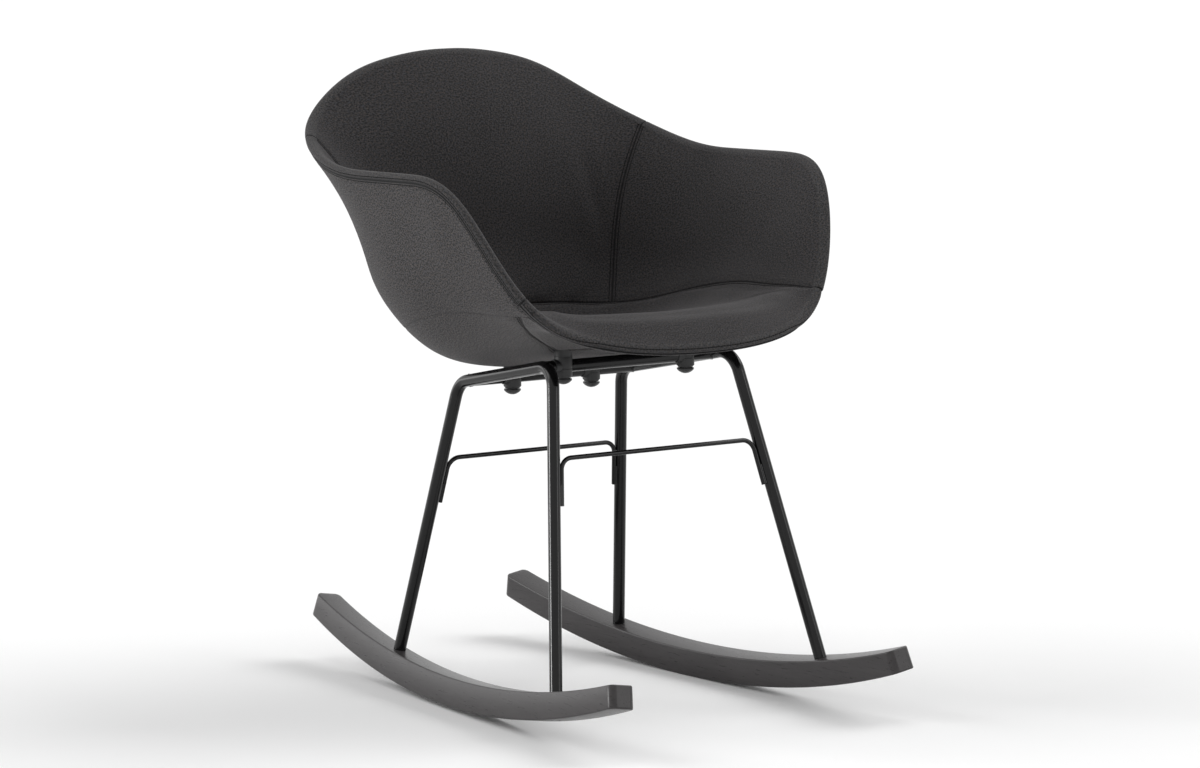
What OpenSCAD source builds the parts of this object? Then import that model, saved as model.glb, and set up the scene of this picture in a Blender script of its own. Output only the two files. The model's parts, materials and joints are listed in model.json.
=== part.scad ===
/* [Bucket rim] */
// Width of the bucket over the arms, measured on the inner skin
rim_width = 562; // [540:1:590]
// Height of the middle of the back above the floor
back_height = 821; // [790:1:840]
// Height of the arms above the floor
arm_height = 693; // [670:1:710]
// Height of the front lip above the floor
lip_height = 480; // [472:1:490]
// Reach of the rim behind its centre
rim_back = 404; // [390:1:415]
// Reach of the rim in front of its centre
rim_front = 200; // [192:1:206]
// Squareness of the rim at the back
rim_square_back = 4.8; // [3.6:0.1:5.2]
// Squareness of the rim at the front
rim_square_front = 2.2; // [2:0.1:2.8]

/* [Seat] */
// Height of the seat plane where the chair touches the floor
seat_height = 475; // [468:1:480]
// Rise of the seat for each millimetre forward
seat_rise = 0.2; // [0.16:0.01:0.22]
// Width of the seat between the walls
seat_width = 400; // [380:1:410]
// How far the middle of the seat is dished
seat_dish = 8; // [4:1:12]
// Outward swell of the side walls
wall_swell = 8; // [0:1:12]
// Inward swell of the back for the lower spine
lumbar = 12; // [0:1:16]
// Outward turn of the wall under the rim
rim_flare = 20; // [10:1:24]

/* [Upholstery] */
// Thickness of shell, padding and cloth in the walls
wall_t = 18; // [16:0.5:20]
// Thickness of shell, padding and cloth under the seat
seat_t = 37; // [34:0.5:39]
// Thickness at the rim
rim_t = 14; // [12:0.5:16]
// Thickness of the moulded shell
shell_t = 4; // [3:0.5:5]
// Thickness of the outer cloth and its thin foam
cover_t = 4.5; // [3:0.5:5]
// Height of the rim bead above the panels
bead_h = 12; // [10:0.5:14]

/* [Tubes and rods] */
// Outside diameter of the frame tube
tube_d = 16; // [15:0.5:17]
// Wall of the frame tube
tube_wall = 1.5; // [1.2:0.1:2]
// Bend radius of the frame tube on its centre line
bend_r = 30; // [26:1:34]
// Diameter of the stretcher rods
rod_d = 6; // [5:0.5:7]
// Bend radius of the stretcher rods
rod_bend_r = 17; // [14:1:20]

/* [Rockers] */
// Radius of the underside of a rocker
rocker_r = 1340; // [1300:5:1400]
// Radius of the top of a rocker
rocker_top_r = 1480; // [1450:5:1500]
// Height of a rocker in the middle
rocker_h = 37.6; // [36:0.2:40]
// Width of a rocker
rocker_w = 35; // [33:0.5:37]
// Length of a rocker in front of the floor contact
rocker_front = 422; // [400:1:430]
// Length of a rocker behind the floor contact
rocker_back = 388; // [370:1:400]
// Half of the distance between the rockers at the floor contact
rocker_half_gap = 192; // [188:0.5:196]
// Toe-out of a rocker towards the front, in degrees
toe_out = 4.4; // [3.6:0.1:5]
// Inward lean of the side frames, in degrees
lean = 8.3; // [7.5:0.1:9]

/* [Seat mounts] */
// Diameter of a seat mount
mount_d = 23; // [21:0.5:24]
// Half of the distance between the front mounts
front_mount_x = 94; // [88:0.5:98]
// Half of the distance between the rear mounts
rear_mount_x = 61.5; // [57:0.5:66]

/* [Hidden] */

// The form is laid out from the floor contact; this moves it to the middle of its own box
y_shift = 17.6;
cloth = [0.22, 0.215, 0.225];
cloth_out = [0.27, 0.265, 0.275];
black = [0.1, 0.1, 0.105];
wood = [0.16, 0.155, 0.16];
eps = 0.01;

// Bucket form
rim_yc = -96;
seat_yc = -60;
seat_back = 235;
seat_front = 185;
side_rise = 12;
junction = 42;      // direction of the seam between back and arm
crossing = 123;     // direction in which the seat seam meets the rim
columns = 60;
seat_rows = 8;
wall_rows = 8;
edge_gap = 10;      // panels stop this far below the rim
rim_shoulder = 6.8; // extra height of the rim at both shoulders of the back

function clamp(t) = min(1, max(0, t));
function ramp(t) = (1 - cos(180 * clamp(t))) / 2;
function smooth(t) = let (c = clamp(t)) c * c * (3 - 2 * c);
function fold(a) = a <= 180 ? a : 360 - a;
function unit(v) = v / max(norm(v), 1e-9);
// distance from the centre to a rounded box outline in direction a
function outline_r(a, w, back, front, nb, nf) =
    let (s = abs(sin(a)), c = cos(a), len = c > 0 ? back : front, n = c > 0 ? nb : nf)
    pow(pow(s / w, n) + pow(abs(c) / len, n), -1 / n);

function rim_z(a, y) =
    let (m = fold(a), rb = ramp(pow(min(1, m / 62.4), 1.17)), tf = ramp((m - 66.5) / 113.5),
         q = pow(tf, 3.5), ft = q * 1.0353 / (q + 0.0353))
    arm_height + (back_height - arm_height) * pow(1 - rb, 1.54)
    + (lip_height - arm_height) * ft - 0.0244 * y * (1 - ft) * rb
    + rim_shoulder * exp(-pow((m - 20.5) / 8.5, 2));
function rim(a) =
    let (r = outline_r(a, rim_width / 2, rim_back, rim_front, rim_square_back, rim_square_front),
         y = rim_yc + r * cos(a))
    [r * sin(a), y, rim_z(a, y)];
function knee(a) =
    let (r = outline_r(a, seat_width / 2, seat_back, seat_front, 3, 3), y = seat_yc + r * cos(a))
    [r * sin(a), y, seat_height - seat_rise * y + side_rise * sin(a) * sin(a)];

// one profile runs from the middle of the seat over the knee to the rim, u = 0 to 3
function profile(a, u) =
    let (o = [0, 0, seat_height - seat_dish], k = knee(a), r = rim(a),
         p = o + (k - o) * 0.65, q = k + (r - k) * 0.33)
    u <= 1 ? o + (p - o) * u
    : u <= 2 ? let (t = u - 1) p * pow(1 - t, 2) + k * 2 * t * (1 - t) + q * t * t
    : let (t = u - 2, tall = clamp((r[2] - k[2]) / 250), out = unit([r[0], r[1] - rim_yc, 0]),
           cb = max(0, cos(a)))
      q * (1 - t) + r * t
      + out * tall * ((wall_swell * (1 - cb) - lumbar * cb) * 4 * t * (1 - t) + rim_flare * (t * t * t - t));
function edge_u(a) = 3 - edge_gap / (0.67 * norm(rim(a) - knee(a)));
// the seat seam leaves the knee at the back corners and runs nearly level to the rim
function seam_u(a) =
    let (x = clamp((fold(a) - junction) / (crossing - junction)), e = edge_u(a),
         low = profile(a, 1.6)[2], high = profile(a, e)[2])
    x >= 1 ? e : 1.6 + (e - 1.6) * clamp((crossing_z - low) * pow(sin(90 * x), 1.3) / (high - low));
crossing_z = profile(crossing, edge_u(crossing))[2];
function row_u(a, k) =
    k <= seat_rows ? seam_u(a) * k / seat_rows
    : seam_u(a) + (edge_u(a) - seam_u(a)) * (k - seat_rows) / wall_rows;
// the upright seams bow a little towards the middle of the back
function bow(a, k) =
    let (f = (k - seat_rows) / wall_rows, m = fold(a),
         b = k < seat_rows ? 1.1 * k / seat_rows : 2 * (1 - f) + 2 * sin(180 * f) - 0.9)
    (a <= 180 ? -1 : 1) * b * exp(-pow((m - 38) / 22, 2));
// direction of a column; they stand closer together round the back corners
function column_dir(i) =
    let (a = 360 * (i % columns) / columns, m = fold(a),
         shift = m < 60 ? 4.3 * sin(6 * m) : 3 * sin(1.5 * (m - 60)))
    a + (a <= 180 ? shift : -shift);

inner = [for (i = [0 : columns - 1]) [for (k = [0 : seat_rows + wall_rows])
    let (a = column_dir(i)) profile(a + bow(a, k), row_u(a, k))]];
function at(i, k) = inner[(i + columns) % columns][k];
function lip_column(i) = fold(column_dir(i)) >= crossing - eps;
function outward(i, k) =
    k == 0 ? [0, 0, -1]
    : let (dk = k == seat_rows + wall_rows || (k >= seat_rows && lip_column(i))
                ? at(i, min(k, lip_column(i) ? seat_rows : k)) - at(i, min(k, lip_column(i) ? seat_rows : k) - 1)
                : at(i, k + 1) - at(i, k - 1))
      unit(cross(dk, at(i + 1, k) - at(i - 1, k)));
function total_t(i, k) =
    let (a = column_dir(i), u = row_u(a, k), f = clamp((k - seat_rows) / wall_rows),
         lip = lip_column(i) ? smooth((u - 1.6) / (edge_u(a) - 1.6)) : 0)
    wall_t + (seat_t - wall_t) * (1 - smooth((u - 0.6) / 1.2)) - (wall_t - rim_t) * max(f * f, lip);
// layers from the inner cloth (0) through the shell (1, 2) to the outer cloth (3)
function depth(i, k, layer) =
    layer == 0 ? 0 : total_t(i, k) - [0, cover_t + shell_t, cover_t, 0][layer];
skins = [for (layer = [0 : 3]) [for (i = [0 : columns - 1]) [for (k = [0 : seat_rows + wall_rows])
    at(i, k) + outward(i, k) * depth(i, k, layer)]]];

// closed slab between two layers, columns i0 to i1 and rows k0 to k1
module slab(i0, i1, k0, k1, top, under) {
    full = i1 - i0 == columns;
    rows = k1 - k0 + 1;
    points = [for (layer = [top, under]) for (i = [i0 : i1]) for (k = [k0 : k1])
        skins[layer][i % columns][k]];
    function id(side, i, k) =
        let (c = full && i == i1 ? i0 : i,
             kk = lip_column(c) ? min(k, seat_rows) - k0 : k - k0,
             cc = k == 0 ? 0 : c - i0)
        (side * (i1 - i0 + 1) + cc) * rows + kk;
    function quad(a, b, c, d) = [[a, b, c], [a, c, d]];
    faces = [
        for (i = [i0 : i1 - 1]) for (k = [k0 : k1 - 1]) each concat(
            quad(id(0, i, k), id(0, i + 1, k), id(0, i + 1, k + 1), id(0, i, k + 1)),
            [for (t = quad(id(1, i, k), id(1, i + 1, k), id(1, i + 1, k + 1), id(1, i, k + 1)))
                [t[0], t[2], t[1]]]),
        for (i = [i0 : i1 - 1]) each quad(id(0, i, k1), id(0, i + 1, k1), id(1, i + 1, k1), id(1, i, k1)),
        if (k0 > 0) for (i = [i0 : i1 - 1]) each
            [for (t = quad(id(0, i, k0), id(0, i + 1, k0), id(1, i + 1, k0), id(1, i, k0))) [t[0], t[2], t[1]]],
        if (!full) for (k = [k0 : k1 - 1]) each concat(
            quad(id(0, i0, k), id(0, i0, k + 1), id(1, i0, k + 1), id(1, i0, k)),
            [for (t = quad(id(0, i1, k), id(0, i1, k + 1), id(1, i1, k + 1), id(1, i1, k))) [t[0], t[2], t[1]]])
    ];
    good = [for (f = faces) if (f[0] != f[1] && f[1] != f[2] && f[2] != f[0]) f];
    polyhedron(points, [for (f = good) [f[0], f[2], f[1]]], convexity = 8);
}

// rounded bead that caps the edge of the panels, columns i0 to i1
bead_steps = 6;
module bead(i0, i1) {
    last = seat_rows + wall_rows;
    function kk(i) = lip_column(i) ? seat_rows : last;
    function ring(i) =
        let (j = i % columns, k = kk(j), p = skins[0][j][k], q = skins[3][j][k],
             m = (p + q) / 2, up = unit(cross(at(j + 1, k) - at(j - 1, k), q - p)),
             dir = up * ((up * (at(j, k) - at(j, k - 1))) > 0 ? 1 : -1))
        concat([for (layer = [0 : 3]) skins[layer][j][k]],
            [for (s = [1 : bead_steps - 1])
                m + (q - m) * cos(180 * s / bead_steps) + dir * bead_h * sin(180 * s / bead_steps)]);
    n = 4 + bead_steps - 1;
    points = [for (i = [i0 : i1]) each ring(i)];
    faces = concat(
        [for (i = [0 : i1 - i0 - 1]) for (s = [0 : n - 1]) let (t = (s + 1) % n, a = i * n, b = a + n)
            each [[a + s, b + s, b + t], [a + s, b + t, a + t]]],
        [[for (s = [0 : n - 1]) s]],
        [[for (s = [0 : n - 1]) (i1 - i0 + 1) * n - 1 - s]]);
    polyhedron(points, faces, convexity = 6);
}

// Side assembly: local X points outward, local Y backward, local Z up along the frame
function side_dir(v) = let (a = [v[0] * cos(lean) - v[2] * sin(lean), v[1], v[0] * sin(lean) + v[2] * cos(lean)])
    [a[0] * cos(toe_out) - a[1] * sin(toe_out), a[0] * sin(toe_out) + a[1] * cos(toe_out), a[2]];
side_origin = [rocker_half_gap, 0, rocker_w / 2 * sin(lean)];
function side_point(v) = side_origin + side_dir(v);
module on_side(hand = 1) {
    if (hand > 0) translate(side_origin) rotate([0, -lean, toe_out]) children();
    else mirror([1, 0, 0]) translate(side_origin) rotate([0, -lean, toe_out]) children();
}
module place() translate([0, y_shift, 0]) children();

// Frame outline in the side plane: feet, bends and rail
foot_back = [158, 46];
foot_front = [-257, 60];
bend_back = [87, 407];
bend_front = [-149, 455.5];
rail_tilt = (bend_front[1] - bend_back[1]) / (bend_back[0] - bend_front[0]);
socket_depth = 15;
function on_leg(front, z) = let (a = front ? foot_front : foot_back, b = front ? bend_front : bend_back)
    [0, a[0] + (b[0] - a[0]) * (z - a[1]) / (b[1] - a[1]), z];
function leg_down(front) = unit(on_leg(front, 0) - on_leg(front, 100));
// bottom of the leg inside its socket in the rocker
function leg_end(front) = let (z = front ? foot_front[1] : foot_back[1]) on_leg(front, z) + leg_down(front) * socket_depth;
function rail_at(s) = let (a = [0, bend_back[0], bend_back[1]], b = [0, bend_front[0], bend_front[1]]) a + (b - a) * s;

// straight round bar between two points, hollow where a bore is given
module bar(a, b, d, bore = 0) {
    v = b - a;
    translate(a) rotate([0, acos(v[2] / norm(v)), atan2(v[1], v[0])])
        if (bore > 0) linear_extrude(norm(v)) ring(d, bore);
        else cylinder(d = d, h = norm(v), $fn = 48);
}
module ring(d, bore) difference() {
    circle(d = d, $fn = 48);
    if (bore > 0) circle(d = bore, $fn = 48);
}
// bar along points with true bends; bending draws the wall in a little, and the straights lap over it
bend_neck = 0.04;
bend_lap = 0.5;
function tangent(p, i, r) = let (u = unit(p[i - 1] - p[i]), v = unit(p[i + 1] - p[i])) r / tan(acos(u * v) / 2);
module bent(p, r, d, bore = 0) {
    last = len(p) - 1;
    for (i = [0 : last - 1]) {
        u = unit(p[i + 1] - p[i]);
        a = i == 0 ? p[0] : p[i] + u * (tangent(p, i, r) - bend_lap);
        b = i == last - 1 ? p[last] : p[i + 1] - u * (tangent(p, i + 1, r) - bend_lap);
        bar(a, b, d, bore);
    }
    for (i = [1 : last - 1]) {
        u = unit(p[i] - p[i - 1]);
        v = unit(p[i + 1] - p[i]);
        n = unit(cross(u, v));
        w = cross(n, u);
        start = p[i] - u * tangent(p, i, r);
        c = start + w * r;
        // columns of the frame: from centre to start, along the bar, axis of the bend
        multmatrix([[-w[0], u[0], n[0], c[0]], [-w[1], u[1], n[1], c[1]], [-w[2], u[2], n[2], c[2]], [0, 0, 0, 1]])
            rotate_extrude(angle = acos(u * v), $fn = 96) translate([r, 0])
                ring(d - bend_neck, bore > 0 ? bore + bend_neck : 0);
    }
}
frame_path = [leg_end(false), [0, bend_back[0], bend_back[1]], [0, bend_front[0], bend_front[1]], leg_end(true)];

module side_frame(hand) color(black) place() on_side(hand)
    bent(frame_path, bend_r, tube_d, tube_d - 2 * tube_wall);
module rail_solid(hand) on_side(hand) bar(rail_at(0.02), rail_at(0.98), tube_d);

// Cross tubes, coped to the rails, drilled for the mount bolts
rear_s = 0.11;
front_s = 0.82;
bolt_d = 6;
function cross_at(s) = side_point(rail_at(s));
module cross_tube(s, mount_x) color(black) place() {
    c = cross_at(s);
    difference() {
        translate([-c[0], c[1], c[2]]) rotate([0, 90, 0]) cylinder(d = tube_d, h = 2 * c[0], $fn = 48);
        translate([-c[0] - 1, c[1], c[2]]) rotate([0, 90, 0])
            cylinder(d = tube_d - 2 * tube_wall, h = 2 * c[0] + 2, $fn = 48);
        for (hand = [-1, 1]) rail_solid(hand);
        for (x = [-mount_x, mount_x]) translate([x, c[1], c[2] - tube_d]) cylinder(d = bolt_d, h = 2 * tube_d, $fn = 32);
    }
}

// Stretchers: a rod between two legs, its ends turned down and welded inside them
module stretcher(front, top, end) color(black) place() {
    off = -(tube_d + rod_d) / 2;
    // height along the leg at which the rod reaches its level
    a = on_leg(front, (top - side_origin[2]) / cos(lean)) + [off, 0, 0];
    b = on_leg(front, end) + [off, 0, 0];
    p = side_point(a);
    q = side_point(b);
    m = function (v) [-v[0], v[1], v[2]];
    bent([m(q), m([p[0], p[1], top]), [p[0], p[1], top], q], rod_bend_r, rod_d);
    // weld beads between rod and leg
    for (hand = [-1, 1]) on_side(hand) difference() {
        bar(b + [2.2, 0, 0] - leg_down(front) * 1, b + [2.2, 0, 0] - leg_down(front) * 26, 7);
        bar(on_leg(front, end - 20), on_leg(front, end + 60), tube_d);
    }
}

// Rockers: a crescent between two arcs, its ends square to the curve with rounded upright corners
corner_r = 9;
corner_crease = 0.3;
module across(width) rotate([90, 0, 90]) translate([0, 0, -width / 2]) linear_extrude(width) children();
module about_arc(a) translate([0, 0, rocker_r]) rotate([a, 0, 0]) translate([0, 0, -rocker_r]) children();
module corner_cutter() {
    x = rocker_w / 2 - corner_r + corner_crease;
    y = corner_r - corner_crease;
    difference() {
        translate([x, -5, -10]) cube([corner_r + 5, y + 5, 90]);
        translate([x, y, -11]) cylinder(r = corner_r, h = 92, $fn = 48);
    }
}
module rocker_bar() difference() {
    intersection() {
        translate([-rocker_w / 2, 0, rocker_r]) rotate([0, 90, 0]) cylinder(r = rocker_r, h = rocker_w, $fn = 720);
        across(2 * rocker_w) polygon([[0, rocker_r],
            for (len = [-rocker_front, rocker_back]) let (a = asin(len / rocker_r))
                [0, rocker_r] + 1.1 * rocker_r * [sin(a), -cos(a)]]);
    }
    translate([-rocker_w, 0, rocker_top_r + rocker_h]) rotate([0, 90, 0])
        cylinder(r = rocker_top_r, h = 2 * rocker_w, $fn = 720);
    for (m = [0, 1]) mirror([m, 0, 0]) {
        about_arc(-asin(rocker_front / rocker_r)) corner_cutter();
        mirror([0, 1, 0]) about_arc(-asin(rocker_back / rocker_r)) corner_cutter();
    }
}
screw_d = 6;
screw_head_d = 12;
screw_web = 15;     // wood left between socket and screw head
plug_h = 22;
module rocker(hand) color(wood) place() on_side(hand) difference() {
    rocker_bar();
    for (front = [false, true]) {
        e = leg_end(front);
        d = leg_down(front);
        bar(e, e - d * 70, tube_d);
        bar(e - d, e + d * 40, screw_d);
        bar(e + d * screw_web, e + d * 40, screw_head_d + 1);
    }
}
module leg_plugs() color([0.45, 0.45, 0.46]) place() for (hand = [-1, 1]) on_side(hand)
    for (front = [false, true]) {
        e = leg_end(front);
        d = leg_down(front);
        difference() {
            bar(e, e - d * plug_h, tube_d - 2 * tube_wall);
            bar(e + d, e - d * (plug_h + 1), screw_d);
        }
    }
module rocker_screws() color([0.3, 0.3, 0.31]) place() for (hand = [-1, 1]) on_side(hand)
    for (front = [false, true]) {
        e = leg_end(front);
        d = leg_down(front);
        bar(e + d * (screw_web + 1), e - d * (plug_h - 3), screw_d);
        difference() {
            bar(e + d * screw_web, e + d * (screw_web + 4), screw_head_d);
            bar(e + d * (screw_web + 2), e + d * (screw_web + 5), 4);
        }
    }

// Seat mounts: a moulded block round the cross tube, a domed bolt below, a boss of the shell above
mount_up = 13;      // from the tube centre to the boss of the shell
mount_down = 15;
boss_h = 21;
insert_d = 10;
insert_h = 18;
mount_spots = [[rear_s, rear_mount_x], [front_s, front_mount_x]];
module at_mount(s, x) let (c = cross_at(s)) translate([x, c[1], c[2]]) children();
module mount(s, x) color(black) place() at_mount(s, x) difference() {
    union() {
        translate([0, 0, -mount_down + 2]) cylinder(d = mount_d, h = mount_up + mount_down - 2, $fn = 64);
        translate([0, 0, -mount_down]) cylinder(d = mount_d - 3, h = 3, $fn = 64);
    }
    translate([-mount_d, 0, 0]) rotate([0, 90, 0]) cylinder(d = tube_d, h = 2 * mount_d, $fn = 48);
    translate([0, 0, -mount_down - 1]) cylinder(d = bolt_d, h = 60, $fn = 32);
}
module mount_bolts() color(black) place() for (spot = mount_spots) for (hand = [-1, 1])
    at_mount(spot[0], hand * spot[1]) {
        translate([0, 0, -mount_down - 3]) cylinder(d = bolt_d, h = mount_down + 3 + mount_up + insert_h - 2, $fn = 32);
        translate([0, 0, -mount_down - 1.2]) cylinder(d = 14, h = 1.2, $fn = 48);
        translate([0, 0, -mount_down - 2.7]) cylinder(d = mount_d - 1, h = 1.5, $fn = 64);
        intersection() {
            translate([0, 0, -mount_down - 2.7 + 8.25]) sphere(r = 13.75, $fn = 48);
            translate([0, 0, -mount_down - 12.7]) cylinder(d = mount_d, h = 10, $fn = 64);
        }
    }
module bosses(grow = 0) for (spot = mount_spots) for (hand = [-1, 1])
    at_mount(spot[0], hand * spot[1]) translate([0, 0, mount_up - grow])
        cylinder(d = mount_d, h = boss_h + grow, $fn = 64);
module shell_inserts() color([0.7, 0.6, 0.3]) place() for (spot = mount_spots) for (hand = [-1, 1])
    at_mount(spot[0], hand * spot[1]) translate([0, 0, mount_up]) difference() {
        cylinder(d = insert_d, h = insert_h, $fn = 48);
        translate([0, 0, -1]) cylinder(d = bolt_d, h = insert_h + 2, $fn = 32);
    }

// Bucket pieces
module shell() color([0.2, 0.2, 0.2]) place() difference() {
    union() {
        slab(0, columns, 0, seat_rows + wall_rows, 1, 2);
        bosses();
    }
    for (spot = mount_spots) for (hand = [-1, 1]) at_mount(spot[0], hand * spot[1])
        translate([0, 0, mount_up - 1]) cylinder(d = insert_d, h = insert_h + 1, $fn = 48);
}
module seat_panel() color(cloth) place() difference() {
    slab(0, columns, 0, seat_rows, 0, 1);
    bosses();
}
module back_panel() color(cloth) place() slab(53, 67, seat_rows, seat_rows + wall_rows, 0, 1);
module arm_panel_right() color(cloth) place() slab(7, 20, seat_rows, seat_rows + wall_rows, 0, 1);
module arm_panel_left() color(cloth) place() slab(40, 53, seat_rows, seat_rows + wall_rows, 0, 1);
module outer_back_panel() color(cloth_out) place() slab(53, 67, seat_rows, seat_rows + wall_rows, 2, 3);
module outer_arm_right() color(cloth_out) place() slab(7, 20, seat_rows, seat_rows + wall_rows, 2, 3);
module outer_arm_left() color(cloth_out) place() slab(40, 53, seat_rows, seat_rows + wall_rows, 2, 3);
module bottom_panel() color(cloth_out) place() difference() {
    slab(0, columns, 0, seat_rows, 2, 3);
    bosses(40);
}
module rim_bead() color(cloth_out) place() bead(40, 80);
module front_bead() color(cloth_out) place() bead(20, 40);

module side_frame_right() side_frame(1);
module side_frame_left() side_frame(-1);
module front_cross_tube() cross_tube(front_s, front_mount_x);
module rear_cross_tube() cross_tube(rear_s, rear_mount_x);
module front_stretcher() stretcher(true, 340, 285);
module rear_stretcher() stretcher(false, 304, 247);
module rocker_right() rocker(1);
module rocker_left() rocker(-1);
module mount_front_right() mount(front_s, front_mount_x);
module mount_front_left() mount(front_s, -front_mount_x);
module mount_rear_right() mount(rear_s, rear_mount_x);
module mount_rear_left() mount(rear_s, -rear_mount_x);

shell();
seat_panel();
back_panel();
arm_panel_right();
arm_panel_left();
outer_back_panel();
outer_arm_right();
outer_arm_left();
bottom_panel();
rim_bead();
front_bead();
side_frame_right();
side_frame_left();
front_cross_tube();
rear_cross_tube();
front_stretcher();
rear_stretcher();
rocker_right();
rocker_left();
mount_front_right();
mount_front_left();
mount_rear_right();
mount_rear_left();
mount_bolts();
shell_inserts();
leg_plugs();
rocker_screws();
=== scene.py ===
"""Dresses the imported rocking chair: cloth, seams, tubes, rockers, mounts, and the studio round it.

Lengths in the classes are millimetres in the frame of the part's own drawing, and become metres in a mesh.
"""

from __future__ import annotations

import json
import logging
import math
from dataclasses import dataclass, field
from enum import Enum
from typing import Any, Sequence

import bmesh
import bpy
import numpy as np
from mathutils import Matrix, Vector

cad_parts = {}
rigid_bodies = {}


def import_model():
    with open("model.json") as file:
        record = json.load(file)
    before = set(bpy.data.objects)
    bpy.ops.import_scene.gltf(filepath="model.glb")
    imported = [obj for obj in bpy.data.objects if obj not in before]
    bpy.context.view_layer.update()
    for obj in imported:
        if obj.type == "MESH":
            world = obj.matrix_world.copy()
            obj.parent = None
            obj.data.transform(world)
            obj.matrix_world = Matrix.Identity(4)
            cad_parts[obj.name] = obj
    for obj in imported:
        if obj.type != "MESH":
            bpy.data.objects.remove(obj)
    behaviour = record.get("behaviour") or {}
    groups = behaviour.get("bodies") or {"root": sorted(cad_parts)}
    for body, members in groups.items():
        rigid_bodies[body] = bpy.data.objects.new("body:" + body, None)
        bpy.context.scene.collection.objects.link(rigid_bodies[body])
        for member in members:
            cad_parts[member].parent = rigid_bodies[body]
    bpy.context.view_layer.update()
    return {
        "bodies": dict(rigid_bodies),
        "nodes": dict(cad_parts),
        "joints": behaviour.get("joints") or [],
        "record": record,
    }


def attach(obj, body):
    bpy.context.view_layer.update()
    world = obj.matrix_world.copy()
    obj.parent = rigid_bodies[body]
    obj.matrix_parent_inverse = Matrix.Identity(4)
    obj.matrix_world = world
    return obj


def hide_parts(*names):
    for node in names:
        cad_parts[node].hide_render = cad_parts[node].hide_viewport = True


LOG = logging.getLogger("rocking_chair")
BODY = "root"
Array = np.ndarray
Colour = tuple[float, float, float]

# From the drawing's frame to the part's own, in millimetres.
FORWARD_SHIFT = np.array([0.0, 17.6, 0.0])
TO_METRES = 0.001
TO_MILLIMETRES = 1000.0
# Distance in millimetres that stands for no seam near.
FAR_AWAY = 60.0
# Angles above which a piece keeps a crisp edge.
CLOTH_CREASE = math.radians(60)
WOOD_CREASE = math.radians(50)
MOULDED_CREASE = math.radians(38)
ACROSS = np.array([1.0, 0.0, 0.0])
UPWARD = np.array([0.0, 0.0, 1.0])
HANDS = ((1, "right"), (-1, "left"))


# ---------------------------------------------------------------- node trees


class Wire:
    """A number that flows through a material's nodes, with ordinary arithmetic."""

    def __init__(self, bench: "Bench", socket: bpy.types.NodeSocket) -> None:
        """Keeps the socket and the bench that adds nodes for it."""
        self.bench = bench
        self.socket = socket

    def calc(self, operation: str, *others: Any, clamp: bool = False) -> "Wire":
        """Adds one Math node that starts from this number.

        Args:
            operation: the Math node's operation.
            others: further operands, wires or plain numbers.
            clamp: whether the result is kept between 0 and 1.

        Returns:
            The node's result.
        """
        return self.bench.math(operation, self, *others, clamp=clamp)

    def __add__(self, other: Any) -> "Wire":
        """Sum."""
        return self.calc("ADD", other)

    __radd__ = __add__

    def __sub__(self, other: Any) -> "Wire":
        """Difference."""
        return self.calc("SUBTRACT", other)

    def __rsub__(self, other: Any) -> "Wire":
        """Difference with the wire on the right."""
        return self.bench.math("SUBTRACT", other, self)

    def __mul__(self, other: Any) -> "Wire":
        """Product."""
        return self.calc("MULTIPLY", other)

    __rmul__ = __mul__

    def __truediv__(self, other: Any) -> "Wire":
        """Quotient."""
        return self.calc("DIVIDE", other)

    def __pow__(self, other: Any) -> "Wire":
        """Power."""
        return self.calc("POWER", other)

    def sine(self) -> "Wire":
        """Sine of the number in radians."""
        return self.calc("SINE")

    def size(self) -> "Wire":
        """Absolute value."""
        return self.calc("ABSOLUTE")

    def held(self) -> "Wire":
        """The number kept between 0 and 1."""
        return self.calc("MULTIPLY", 1.0, clamp=True)

    def hump(self, centre: float, width: float) -> "Wire":
        """A bell of height 1 round a centre."""
        return self.bench.math("EXPONENT", ((self - centre) / width) ** 2.0 * -1.0)

    def mix(self, low: Any, high: Any) -> "Wire":
        """Runs from low to high as this number goes from 0 to 1."""
        return self * high + (1.0 - self) * low


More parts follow.
